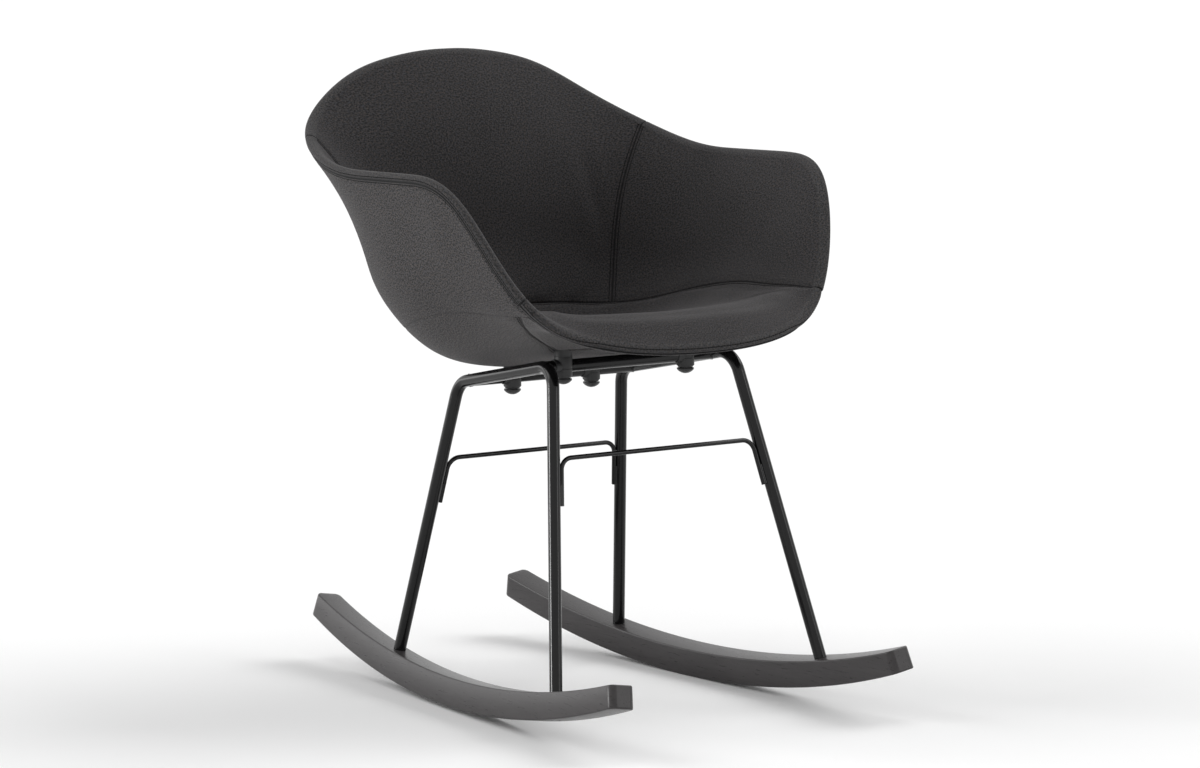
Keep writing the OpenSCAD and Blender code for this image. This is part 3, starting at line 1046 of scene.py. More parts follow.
# Distances in millimetres from a sewn edge, and from a seam or notch, at which the grid has lines.
EDGE_STEPS = np.array([0.0, 0.35, 0.75, 1.2, 1.7, 2.3, 2.9, 3.4, 3.8, 4.2, 4.6, 5.1, 5.8, 7.0, 9.0, 11.5])
HALF_BAND = np.array([0.3, 0.6, 1.0, 1.5, 2.1, 2.7, 3.2, 3.55, 3.9, 4.25, 4.6, 5.2, 6.2])
BAND_STEPS = np.concatenate([-HALF_BAND[::-1], [0.0], HALF_BAND])
HALF_NOTCH = np.array([0.4, 0.9, 1.5, 2.2, 3.0])
NOTCH_STEPS = np.concatenate([-HALF_NOTCH[::-1], [0.0], HALF_NOTCH])

# Columns and rows of the bucket between which its panels lie.
LIP_COLUMNS = (20.0, 40.5)
ALL_COLUMNS = (0.0, 60.0)
SEAT_ROWS = (0.0, 8.0)
WALL_ROWS = (8.0, 16.0)


def stations(length: Array, low: bool, high: bool, middle: int) -> Array:
    """Distances along lines of given lengths, close together near the ends that are sewn.

    Args:
        length: length of each line.
        low: whether the start is sewn.
        high: whether the end is sewn.
        middle: number of steps between.

    Returns:
        An array of distances by lines.
    """
    shrink = np.minimum(1.0, length / 30.0)
    start = EDGE_STEPS[:, None] * shrink if low else np.zeros((1, len(length)))
    end = length - (EDGE_STEPS[::-1, None] * shrink if high else np.zeros((1, len(length))))
    t = np.linspace(0.0, 1.0, middle + 1)[1:-1, None]
    return np.concatenate([start, start[-1] + (end[0] - start[-1]) * t, end])


def lengths(points: Array, axis: int) -> Array:
    """Length run through along one axis of a grid of points, from 0.

    Args:
        points: rows by columns by 3.
        axis: 0 up the columns, 1 along the rows.

    Returns:
        The length at each point.
    """
    steps = np.linalg.norm(np.diff(points, axis=axis), axis=2)
    start = np.zeros_like(points[:1, :, 0] if axis == 0 else points[:, :1, 0])
    return np.concatenate([start, np.cumsum(steps, axis=axis)], axis=axis)


def line_at(away: Array, points: Array, distance: float) -> list[float]:
    """The point of a line where a distance kept along it has a given value."""
    order = np.argsort(away)
    return [float(np.interp(distance, away[order], points[order, axis])) for axis in range(3)]


@dataclass
class Panel:
    """One sewn panel of the bucket: a padded slab between two columns and two rows, with its seams.

    A dent is (column, row, half length, half width, depth), and a depth below 0 makes a swelling. A rib is
    a line of (column, row).
    """

    name: str
    node: str
    columns: tuple[float, float]
    rows: tuple[float, float]
    outer: bool = False
    low: Edge = Edge.TUCKED
    high: Edge = Edge.FLUSH
    start: Edge = Edge.TWIN
    end: Edge = Edge.TWIN
    lip_high: Edge | None = None
    across: int = 120
    upright: int = 46
    fill: float = 0.9
    undulation: float = 0.35
    pads: PadSimulation | None = None
    dents: tuple[tuple[float, float, float, float, float], ...] = ()
    ribs: tuple[tuple[tuple[float, float], ...], ...] = ()
    cross_row: float = 0.0
    lift: float = 0.12
    clearance: float = 0.3
    calm_reach: float = 18.0
    form: BucketForm = field(default_factory=BucketForm)
    lines: dict[str, Array] = field(default_factory=dict, init=False)

    @property
    def round(self) -> bool:
        """Whether the panel goes all the way round."""
        return self.columns[1] - self.columns[0] >= self.form.columns

    def surface(self, c: Array, k: Array) -> tuple[Array, Array, Array]:
        """Places points on the panel.

        Args:
            c: columns.
            k: rows.

        Returns:
            Points of the visible face, its free direction and the points of the hidden face.
        """
        if self.outer:
            free, seen, unseen = self.form.outward(c, k), Layer.OUTER_CLOTH, Layer.SHELL_OUTSIDE
        else:
            free, seen, unseen = -self.form.outward(c, k), Layer.INNER_CLOTH, Layer.SHELL_INSIDE
        return self.form.skin(c, k, seen), free, self.form.skin(c, k, unseen) + free * self.clearance

    def column_lines(self, fine: Array) -> tuple[Array, Array, Array]:
        """Lines of the grid up the panel, some of which follow the ribs.

        Args:
            fine: rows at which the lines are given.

        Returns:
            Columns of each line at those rows, its distance from its rib, and its rib's number or -1.
        """
        c0, c1 = self.columns
        if not self.round:
            trial = np.linspace(c0, c1, 200)
            run = lengths(self.form.inner(trial, np.full_like(trial, sum(self.rows) / 2))[None], 1)[0]
            sewn = self.start is not Edge.FLUSH, self.end is not Edge.FLUSH
            place = stations(run[-1:], *sewn, self.across)[:, 0]
            lines = np.broadcast_to(np.interp(place, run, trial), (len(fine), len(place)))
            return lines, np.full(len(place), FAR_AWAY), np.full(len(place), -1)
        bands = []
        for rib in self.ribs:
            places, rows = np.array(rib).T
            path = np.interp(fine, rows, places)
            after, before = self.surface(path + 0.05, fine)[0], self.surface(path - 0.05, fine)[0]
            step = np.linalg.norm(after - before, axis=-1) / 0.1
            bands.append(path[:, None] + BAND_STEPS / np.maximum(step, 5.0)[:, None])
        ends = [np.full((len(fine), 1), c0)] + bands + [np.full((len(fine), 1), c1)]
        parts, away, rib_of = [ends[0]], [np.array([FAR_AWAY])], [np.array([-1])]
        for number, (before, after) in enumerate(zip(ends[:-1], ends[1:])):
            count = max(2, round(self.across * float(after[-1, 0] - before[-1, -1]) / (c1 - c0)))
            t = np.linspace(0.0, 1.0, count + 1)[1:-1]
            parts.append(before[:, -1:] + (after[:, :1] - before[:, -1:]) * t)
            away.append(np.full(len(t), FAR_AWAY))
            rib_of.append(np.full(len(t), -1))
            if number < len(bands):
                parts.append(after)
                away.append(BAND_STEPS)
                rib_of.append(np.full(len(BAND_STEPS), number))
        return np.concatenate(parts, 1), np.concatenate(away), np.concatenate(rib_of)

    def lay_out(self) -> tuple[Array, Array, Array, Array]:
        """Places the grid.

        Returns:
            Columns and rows of each grid point, the distance from its low seam and the length of its column.
        """
        fine = np.linspace(*self.rows, 97)
        cc, away, rib_of = self.column_lines(fine)
        self.lines["away"], self.lines["rib"] = away, rib_of
        climb = lengths(self.surface(cc, np.broadcast_to(fine[:, None], cc.shape))[0], 0)
        length = climb[-1]
        place = stations(length, self.rows[0] > 0, True, self.upright)
        if self.cross_row:
            level = np.array([np.interp(self.cross_row, fine, climb[:, i]) for i in range(len(length))])
            place = np.sort(np.concatenate([place, level + BAND_STEPS[:, None]]), axis=0)
        k = np.stack([np.interp(place[:, i], climb[:, i], fine) for i in range(len(length))], 1)
        c = np.stack([np.interp(k[:, i], fine, cc[:, i]) for i in range(len(length))], 1)
        return c, k, place, np.broadcast_to(length, k.shape)

    def crown(self, c: Array, k: Array) -> Array:
        """How far the foam lifts the cover, from the cloth simulation.

        Args:
            c: columns.
            k: rows.

        Returns:
            The rise of each point.
        """
        if self.pads is None:
            return np.zeros_like(c)
        c0, c1 = self.columns
        if self.round:
            cs = np.linspace(c0, c1 - 1.0, self.pads.round_columns)
        else:
            cs = np.linspace(c0, c1, self.pads.columns)
        ks = np.linspace(max(self.rows[0], 0.4), self.rows[1], self.pads.rows)
        points, normal, _ = self.surface(*np.meshgrid(cs, ks))
        rise = self.pads.run(self.name + "_sheet", points, normal, self.round)
        if self.round:
            cs, rise = np.append(cs, c1), np.concatenate([rise, rise[:, :1]], 1)
        x = np.clip((c - cs[0]) / (cs[-1] - cs[0]) * (len(cs) - 1), 0, len(cs) - 1.001)
        y = np.clip((k - ks[0]) / (ks[-1] - ks[0]) * (len(ks) - 1), 0, len(ks) - 1.001)
        i, j = x.astype(int), y.astype(int)
        s, t = x - i, y - j
        below = rise[j, i] * (1 - s) + rise[j, i + 1] * s
        above = rise[j + 1, i] * (1 - s) + rise[j + 1, i + 1] * s
        return below * (1 - t) + above * t

    def build(self, material: bpy.types.Material, slot: str) -> bpy.types.Object:
        """Makes the panel.

        Args:
            material: the cloth.
            slot: the record's material slot; passed on, but not used.

        Returns:
            The finished piece.
        """
        c, k, place, length = self.lay_out()
        points, normal, hidden = self.surface(c, k)
        run, far = lengths(points, 1), length - place
        total = run[:, -1:]
        marks = SeamMarks.blank(c.shape)
        calm = smooth(far / self.calm_reach)
        if self.rows[0] > 0:
            marks.sew(self.low, place, run)
            calm = calm * smooth(place / self.calm_reach)
        lip = smooth((np.minimum(c - LIP_COLUMNS[0] + 0.4, LIP_COLUMNS[1] + 0.4 - c)) / 0.8)
        if self.lip_high is None:
            marks.sew(self.high, far, run)
        else:
            marks.sew(self.lip_high, far, run, lip)
            marks.sew(self.high, far, run, 1.0 - lip)
        if not self.round:
            marks.sew(self.start, run, place)
            marks.sew(self.end, total - run, place)
            calm = calm * smooth(run / self.calm_reach) * smooth((total - run) / self.calm_reach)
        if self.ribs:
            from_rib = np.broadcast_to(np.abs(self.lines["away"]), c.shape)
            marks.sew(Edge.APRON, from_rib, place, smooth((k - self.cross_row + 0.2) / 0.3))
            level = np.stack([np.interp(self.cross_row, k[:, i], place[:, i]) for i in range(c.shape[1])])
            inside = self.ribs[1][0][0] - self.form.columns / 2 - np.abs(c - self.form.columns / 2)
            marks.sew(Edge.APRON, np.abs(place - level), run, smooth(inside / 0.25 + 0.5))
        height = marks.height + self.crown(c, k) + self.undulation * self.waves(points) * calm
        height = self.dented(height, points, calm)
        height = np.maximum(height, -0.8 * np.linalg.norm(points - hidden, axis=-1))
        face = points + normal * height[..., None]
        self.lines.update(low=place, high=far, start=run, end=total - run)
        self.lines.update(face=face + normal * self.lift, column=c, row=k)
        piece = self.mesh(face, hidden, self.flat_map(c, place, run), marks, material, slot)
        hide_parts(self.node)
        return report(piece)

    def dented(self, height: Array, points: Array, calm: Array) -> Array:
        """Adds the panel's dents and swellings.

        Args:
            height: height of the cover at each point.
            points: the points.
            calm: 0 at the seams and 1 away from them.

        Returns:
            The new height.
        """
        for column, row, half_length, half_width, depth in self.dents:
            spot = self.surface(np.array([column]), np.array([row]))[0][0]
            side = unit(self.surface(np.array([column + 0.3]), np.array([row]))[0][0] - spot)
            offset = points - spot
            lengthwise = offset @ side
            wide = np.linalg.norm(offset - lengthwise[..., None] * side, axis=-1)
            bump = depth * np.exp(-((lengthwise / half_length) ** 2) - (wide / half_width) ** 2)
            height = height - (bump if depth > 0 else bump * calm)
        return height

    def flat_map(self, c: Array, place: Array, run: Array) -> Array:
        """Lays the cloth flat: round panels about their middle, the others along their own length.

        Args:
            c: columns.
            place: distance from the low seam.
            run: length along the rows.

        Returns:
            A UV in metres for each point.
        """
        if self.round:
            a = self.form.direction(c)
            return np.stack([place * sin_degrees(a), place * cos_degrees(a)], -1) * TO_METRES
        middle = run[run.shape[0] // 2]
        return np.stack([np.broadcast_to(middle, run.shape), place], -1) * TO_METRES

    def waves(self, points: Array) -> Array:
        """Slow unevenness of hand-stretched cloth.

        Args:
            points: points of the panel.

        Returns:
            A number of about -1 to 1 for each.
        """
        rng = np.random.default_rng(sum(ord(letter) for letter in self.name))
        total = np.zeros(points.shape[:-1])
        for _ in range(7):
            heading = unit(rng.normal(size=3))
            total += np.sin(points @ heading * math.tau / rng.uniform(55.0, 150.0) + rng.uniform(0, math.tau))
        return total / 3.5

    def mesh(self, face: Array, hidden: Array, flat: Array, marks: SeamMarks, material: bpy.types.Material,
             slot: str) -> bpy.types.Object:
        """Joins the visible and hidden faces into one closed piece.

        Args:
            face: points of the visible face.
            hidden: points of the hidden face.
            flat: a UV for each point.
            marks: what the seams do there.
            material: the cloth.
            slot: the record's material slot; not used.

        Returns:
            The new piece.
        """
        rows, cols = face.shape[:2]
        count = rows * cols
        ids = np.arange(count).reshape(rows, cols)
        if self.round:
            ids[0] = 0
        here, after = beside(ids, self.round)
        top = cells(ids, self.round)
        wall = [np.stack([here[-1], after[-1], after[-1] + count, here[-1] + count], -1)]
        if not self.round:
            wall.append(np.stack([after[0], here[0], here[0] + count, after[0] + count], -1))
            for side in (ids[:, 0], ids[::-1, -1]):
                wall.append(np.stack([side[:-1], side[1:], side[1:] + count, side[:-1] + count], -1))
        faces = []
        for quad in np.concatenate([top, top[:, ::-1] + count, *wall]):
            loop = [int(quad[n]) for n in range(4) if quad[n] != quad[(n + 1) % 4]]
            if len(loop) >= 3:
                faces.append(loop)
        used = np.zeros(2 * count, bool)
        used[[i for f in faces for i in f]] = True
        renumber = np.cumsum(used) - 1
        faces = [[int(renumber[i]) for i in f] for f in faces]
        points = np.concatenate([face.reshape(-1, 3), hidden.reshape(-1, 3)])[used]
        maps = np.concatenate([flat.reshape(-1, 2)] * 2)[used]
        kept = {name: np.tile(values.ravel(), 2)[used] for name, values in marks.kept().items()}
        piece = make_piece(self.name, points, faces, material, maps, kept)
        piece.data.set_sharp_from_angle(angle=CLOTH_CREASE)
        return piece

    def row_at(self, edge: str, distance: float, part: tuple[float, float] | None = None) -> Array:
        """A line on the visible face at a distance from one of its seams.

        Args:
            edge: low, high, start or end.
            distance: distance from that seam.
            part: columns between which the line runs, for a low or high seam.

        Returns:
            Its points, in millimetres.
        """
        face, away = self.lines["face"], self.lines[edge]
        if edge in ("low", "high"):
            columns = self.lines["column"][-1]
            keep = [i for i in range(face.shape[1]) if part is None or part[0] <= columns[i] <= part[1]]
            keep = [i for i in keep if away[:, i].max() > 2 * distance + 1]
            return np.array([line_at(away[:, i], face[:, i], distance) for i in keep])
        keep = [j for j in range(face.shape[0]) if away[j].max() > 2 * distance]
        return np.array([line_at(away[j], face[j], distance) for j in keep])

    def rib_rows(self) -> list[Array]:
        """The rows of stitches on both sides of each rib, in millimetres.

        Returns:
            One array of points for each row.
        """
        face, row = self.lines["face"], self.lines["row"]
        sewn = (self.lines["rib"] >= 0) & (np.abs(self.lines["away"]) == Edge.APRON.value.row)
        return [face[row[:, i] >= self.cross_row, i] for i in np.flatnonzero(sewn)]


@dataclass
class Bead:
    """The padded roll over the rim, between two columns.

    The arms' and back's seam is measured from its outer edge and the lip's from its inner one.
    """

    name: str
    node: str
    columns: tuple[float, float]
    sewn_outside: bool
    seam: float
    drift: float
    edge: Edge
    row_sides: tuple[int, ...]
    notches: tuple[float, ...] = ()
    steps: int = 54
    pitch: float = 3.2
    lift: float = 0.12
    notch: float = 0.9
    form: BucketForm = field(default_factory=BucketForm)
    face: Array | None = field(default=None, init=False)
    away: Array | None = field(default=None, init=False)

    def sections(self, c: Array) -> tuple[Array, Array, Array]:
        """Places the roll.

        Args:
            c: columns.

        Returns:
            Points of its inner and outer edge, and the direction of its crown.
        """
        form = self.form
        k = np.where(np.abs(c - form.columns / 2) > 10.0, WALL_ROWS[1], SEAT_ROWS[1])
        p, q = form.skin(c, k, Layer.INNER_CLOTH), form.skin(c, k, Layer.OUTER_CLOTH)
        along = form.inner(c + 0.4, k) - form.inner(c - 0.4, k)
        crown = unit(np.cross(along, q - p))
        _, turned, u = form.place(c, k)
        rise = form.profile(turned, u) - form.profile(turned, u - 0.05)
        return p, q, crown * np.sign((crown * rise).sum(-1, keepdims=True))

    def spread(self, trial: Array, run: Array) -> Array:
        """Distances along the roll, close together at its ends and notches.

        Args:
            trial: columns along the roll.
            run: length up to each of them.

        Returns:
            The distances.
        """
        places = [stations(run[-1:], True, True, int(run[-1] / self.pitch))[:, 0]]
        places += [mark + NOTCH_STEPS for mark in np.interp(self.notches, trial, run)]
        place = np.sort(np.concatenate(places))
        return place[np.concatenate([[True], np.diff(place) > 0.15])]

    def build(self, material: bpy.types.Material, slot: str) -> bpy.types.Object:
        """Makes the roll.

        Args:
            material: the cloth.
            slot: the record's material slot; not used.

        Returns:
            The finished piece.
        """
        trial = np.linspace(*self.columns, 600)
        p, q, _ = self.sections(trial)
        run = lengths((p + q)[None] / 2, 1)[0]
        place = self.spread(trial, run)
        c = np.interp(place, run, trial)
        p, q, crown = self.sections(c)
        turn = np.linspace(0.0, math.pi, self.steps)[:, None, None]
        middle, half = (p + q) / 2, (q - p) / 2
        face = middle + half * np.cos(turn) + crown * self.form.bead_h * np.sin(turn)
        sideways = half / np.linalg.norm(half, axis=-1, keepdims=True) ** 2
        normal = unit(sideways * np.cos(turn) + crown / self.form.bead_h * np.sin(turn))
        arc = lengths(face, 0)
        drift = self.drift * smooth((np.abs(c - self.form.columns / 2) - 6.5) / 3.0)
        away = (arc if self.sewn_outside else arc[-1] - arc) - self.seam - drift
        marks = SeamMarks.blank(away.shape)
        along = np.broadcast_to(place, away.shape)
        stitched = np.isin(np.sign(away), self.row_sides) * 1.0
        marks.sew(self.edge, np.abs(away), along, stitched)
        marks.sew(Edge.PLAIN, np.abs(away), along, 1.0 - stitched)
        height = marks.height
        for mark in [0.0, run[-1], *np.interp(self.notches, trial, run)]:
            from_notch = np.abs(along - mark)
            height = height - self.notch * np.exp(-((from_notch / self.notch) ** 2))
            # painted shade: the cloth's finish darkens the roll at its ends and notches through this gap
            marks.gap = np.minimum(marks.gap, from_notch)
        face = face + normal * height[..., None]
        self.face, self.away = face + normal * self.lift, away
        rows, cols = face.shape[:2]
        ids = np.arange(rows * cols).reshape(rows, cols)
        skin = cells(np.concatenate([ids, ids[:1]]), False)
        faces = [*skin.tolist(), ids[:, 0].tolist(), ids[::-1, -1].tolist()]
        flat = np.stack([along, arc], -1) * TO_METRES
        kept = {name: values.ravel() for name, values in marks.kept().items()}
        piece = make_piece(self.name, face.reshape(-1, 3), faces, material, flat.reshape(-1, 2), kept)
        piece.data.set_sharp_from_angle(angle=CLOTH_CREASE)
        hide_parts(self.node)
        return report(piece)

    def rows(self) -> list[Array]:
        """The rows of stitches beside the seam, in millimetres."""
        row, columns = self.edge.value.row, range(self.face.shape[1])
        return [np.array([line_at(self.away[:, i], self.face[:, i], side * row) for i in columns])
                for side in self.row_sides]


@dataclass
class StitchWork:
    """Rows of thread stitches laid along lines by one tree of Geometry Nodes."""

    pitch: float = 4.2
    length: float = 3.3
    thickness: float = 1.0
    tree: bpy.types.NodeTree | None = field(default=None, init=False)

    def grow_tree(self) -> bpy.types.NodeTree:
        """Builds the tree: a line becomes points a pitch apart, and each gets a stitch turned along it.

        Returns:
            The tree.
        """
        tree = bpy.data.node_groups.new("stitch_rows", "GeometryNodeTree")
        sockets = {"Geometry": "Geometry", "Pitch": "Float", "Length": "Float", "Thickness": "Float",
                   "Thread": "Material"}
        for name, kind in sockets.items():
            tree.interface.new_socket(name=name, in_out="INPUT", socket_type="NodeSocket" + kind)
        tree.interface.new_socket(name="Geometry", in_out="OUTPUT", socket_type="NodeSocketGeometry")
        add = tree.nodes.new
        start, end = add("NodeGroupInput"), add("NodeGroupOutput")
        curve, spots = add("GeometryNodeMeshToCurve"), add("GeometryNodeCurveToPoints")
        spots.mode = "LENGTH"
        ball = add("GeometryNodeMeshUVSphere")
        ball.inputs["Segments"].default_value, ball.inputs["Rings"].default_value = 8, 5
        ball.inputs["Radius"].default_value = 0.5
        sizes, stretch = add("ShaderNodeCombineXYZ"), add("GeometryNodeTransform")
        place, real = add("GeometryNodeInstanceOnPoints"), add("GeometryNodeRealizeInstances")
        paint, soft = add("GeometryNodeSetMaterial"), add("GeometryNodeSetShadeSmooth")
        for source, out, target, into in (
            (start, "Geometry", curve, "Mesh"),
            (curve, "Curve", spots, "Curve"),
            (start, "Pitch", spots, "Length"),
            (start, "Thickness", sizes, "X"),
            (start, "Thickness", sizes, "Y"),
            (start, "Length", sizes, "Z"),
            (ball, "Mesh", stretch, "Geometry"),
            (sizes, "Vector", stretch, "Scale"),
            (spots, "Points", place, "Points"),
            (spots, "Rotation", place, "Rotation"),
            (stretch, "Geometry", place, "Instance"),
            (place, "Instances", real, "Geometry"),
            (real, "Geometry", soft, "Geometry"),
            (soft, "Geometry", paint, "Geometry"),
            (start, "Thread", paint, "Material"),
            (paint, "Geometry", end, "Geometry"),
        ):
            tree.links.new(source.outputs[out], target.inputs[into])
        return tree

    def sew(self, name: str, lines: Sequence[Array], material: bpy.types.Material,
            slot: str) -> bpy.types.Object:
        """Sews stitches along lines.

        Args:
            name: the new piece's name.
            lines: lines of points, in millimetres.
            material: the thread.
            slot: the record's material slot; not used.

        Returns:
            The finished piece.
        """
        self.tree = self.tree or self.grow_tree()
        points, edges, count = [], [], 0
        for line in lines:
            points.append((line + FORWARD_SHIFT) * TO_METRES)
            edges += [(count + i, count + i + 1) for i in range(len(line) - 1)]
            count += len(line)
        mesh = bpy.data.meshes.new(name)
        mesh.from_pydata(np.concatenate(points).tolist(), edges, [])
        piece = linked(name, mesh)
        tool = piece.modifiers.new("stitches", "NODES")
        tool.node_group = self.tree
        sizes = {"Pitch": self.pitch, "Length": self.length, "Thickness": self.thickness}
        values = {word: size * TO_METRES for word, size in sizes.items()} | {"Thread": material}
        for item in self.tree.interface.items_tree:
            if item.in_out == "INPUT" and item.name in values:
                tool[item.identifier] = values[item.name]
        settle(piece)
        return report(piece)


def upright_rows(back: Panel, right: Panel, left: Panel) -> list[Array]:
    """The rows of stitches on both sides of the two upright seams."""
    ends = ((back, "start"), (back, "end"), (right, "start"), (left, "end"))
    return [panel.row_at(edge, Edge.TWIN.value.row) for panel, edge in ends]


@dataclass
class Upholstery:
    """All the cloth: inner panels, outer panels, the roll round the rim, and the thread."""

    left_seam: float = 53.35
    right_seam: float = 67.0
    rim_seam: float = 4.0
    lip_seam: float = 15.0
    lip_drift: float = 11.0
    apron_rib: tuple[tuple[float, float], ...] = (
        (39.85, 2.6), (40.15, 3.75), (40.4, 5.05), (40.45, 7.15), (40.5, 8.0),
    )
    corner_swells: tuple[tuple[float, float, float, float, float], ...] = (
        (39.3, 5.5, 34.0, 28.0, -6.0), (20.7, 5.5, 34.0, 28.0, -6.0),
    )
    arm_tuck: tuple[tuple[float, float, float, float, float], ...] = ((7.93, 8.95, 5.5, 1.7, 1.4),)

    def build(self, inner: bpy.types.Material, outer: bpy.types.Material, edging: bpy.types.Material,
              thread: bpy.types.Material) -> None:
        """Makes every cloth piece.

        Args:
            inner: cloth of the seat, back and arms inside.
            outer: cloth outside.
            edging: cloth of the rolls.
            thread: sewing thread.
        """
        pads = PadSimulation()
        last = ALL_COLUMNS[1]
        mirrored = tuple((last - column, row) for column, row in self.apron_rib)
        across_back = (self.left_seam, self.right_seam)
        right_arm = (self.right_seam - last, LIP_COLUMNS[0])
        left_arm = (40.0, self.left_seam)
        seat = Panel("seat_pad", "seat_panel", ALL_COLUMNS, SEAT_ROWS, high=Edge.RIDGED, lip_high=Edge.FLUSH,
                     across=300, upright=62, fill=0.8, pads=pads, undulation=0.5, dents=self.corner_swells)
        back = Panel("back_pad", "back_panel", across_back, WALL_ROWS, across=130, pads=pads)
        right = Panel("arm_pad_right", "arm_panel_right", right_arm, WALL_ROWS, end=Edge.FLUSH, pads=pads,
                      dents=self.arm_tuck)
        left = Panel("arm_pad_left", "arm_panel_left", left_arm, WALL_ROWS, start=Edge.FLUSH, pads=pads)
        for panel in (seat, back, right, left):
            panel.build(inner, "cloth_inner")
        thin = dict(outer=True, fill=1.0, undulation=0.3)
        sewn = dict(low=Edge.FAINT, high=Edge.BY_RIM, **thin)
        outer_back = Panel("outer_back", "outer_back_panel", across_back, WALL_ROWS, across=120, **sewn)
        outer_right = Panel("outer_side_right", "outer_arm_right", right_arm, WALL_ROWS, across=100,
                            end=Edge.FLUSH, **sewn)
        outer_left = Panel("outer_side_left", "outer_arm_left", left_arm, WALL_ROWS, across=100,
                           start=Edge.FLUSH, **sewn)
        under = Panel("under_cover", "bottom_panel", ALL_COLUMNS, SEAT_ROWS, high=Edge.FAINT,
                      lip_high=Edge.FLUSH, across=200, upright=44, ribs=(mirrored, self.apron_rib),
                      cross_row=self.apron_rib[0][1], **thin)
        for panel in (outer_back, outer_right, outer_left, under):
            panel.build(outer, "cloth_outer")
        rim = Bead("rim_roll", "rim_bead", (LIP_COLUMNS[1], last + LIP_COLUMNS[0]), True, self.rim_seam, 0.0,
                   Edge.ROLLED, (-1, 1), notches=across_back)
        lip = Bead("lip_roll", "front_bead", LIP_COLUMNS, False, self.lip_seam, self.lip_drift,
                   Edge.LIPPED, (-1,))
        for roll in (rim, lip):
            roll.build(edging, "cloth_edge")
        ridge = Edge.RIDGED.value.row
        sides = [seat.row_at("high", ridge, part) for part in ((0.0, 20.0), (40.6, last))]
        work = StitchWork()
        for name, lines, slot in (
            ("upright_stitches", upright_rows(back, right, left), "cloth_inner"),
            ("seat_stitches", sides, "cloth_inner"),
            ("lip_stitches", lip.rows(), "cloth_edge"),
            ("rim_stitches", rim.rows(), "cloth_edge"),
            ("outer_stitches", upright_rows(outer_back, outer_right, outer_left), "cloth_outer"),
            ("apron_stitches", under.rib_rows(), "cloth_outer"),
        ):
            work.sew(name, lines, thread, slot)


# ------------------------------------------------------ frame, wood, mounts


@dataclass
class SideFrame:
    """Places in the leaning plane of a side frame: X outward, Y backward, Z up."""

    half_gap: float = 192.0
    toe_out: float = 4.4
    lean: float = 8.3
    rocker_w: float = 35.0
    foot_back: tuple[float, float] = (158.0, 46.0)
    foot_front: tuple[float, float] = (-257.0, 60.0)
    bend_back: tuple[float, float] = (87.0, 407.0)
    bend_front: tuple[float, float] = (-149.0, 455.5)
    rear_s: float = 0.11
    front_s: float = 0.82

    def world(self, points: Array, hand: int) -> Array:
        """Takes points of the side plane to the drawing's frame.

        Args:
            points: the points.
            hand: 1 for the right side, -1 for the left.

        Returns:
            The points in the drawing's frame.
        """
        lean, toe = math.radians(self.lean), math.radians(self.toe_out)
        x = points[..., 0] * math.cos(lean) - points[..., 2] * math.sin(lean)
        z = points[..., 0] * math.sin(lean) + points[..., 2] * math.cos(lean)
        y = points[..., 1]
        across, along = x * math.cos(toe) - y * math.sin(toe), x * math.sin(toe) + y * math.cos(toe)
        placed = np.stack([across, along, z], -1)
        placed = placed + np.array([self.half_gap, 0.0, self.rocker_w / 2 * math.sin(lean)])
        return placed * np.array([hand, 1.0, 1.0])

    def leg(self, front: bool, z: float) -> Array:
        """Point of a leg's centre line at height z."""
        a, b = (self.foot_front, self.bend_front) if front else (self.foot_back, self.bend_back)
        return np.array([0.0, a[0] + (b[0] - a[0]) * (z - a[1]) / (b[1] - a[1]), z])

    def rail(self, s: float) -> Array:
        """Point of the rail's centre line, from the rear bend (0) to the front bend (1)."""
        a, b = np.array([0.0, *self.bend_back]), np.array([0.0, *self.bend_front])
        return a + (b - a) * s


# Distances in millimetres from a rocker's end at which it has rings, and how far its end faces draw in.
END_STEPS = np.array([0.0, 0.08, 0.25, 0.5, 0.9, 1.4, 2.0, 2.8, 3.8, 5.0, 6.4, 7.7, 9.0])
END_RINGS = (0.5, 1.2)


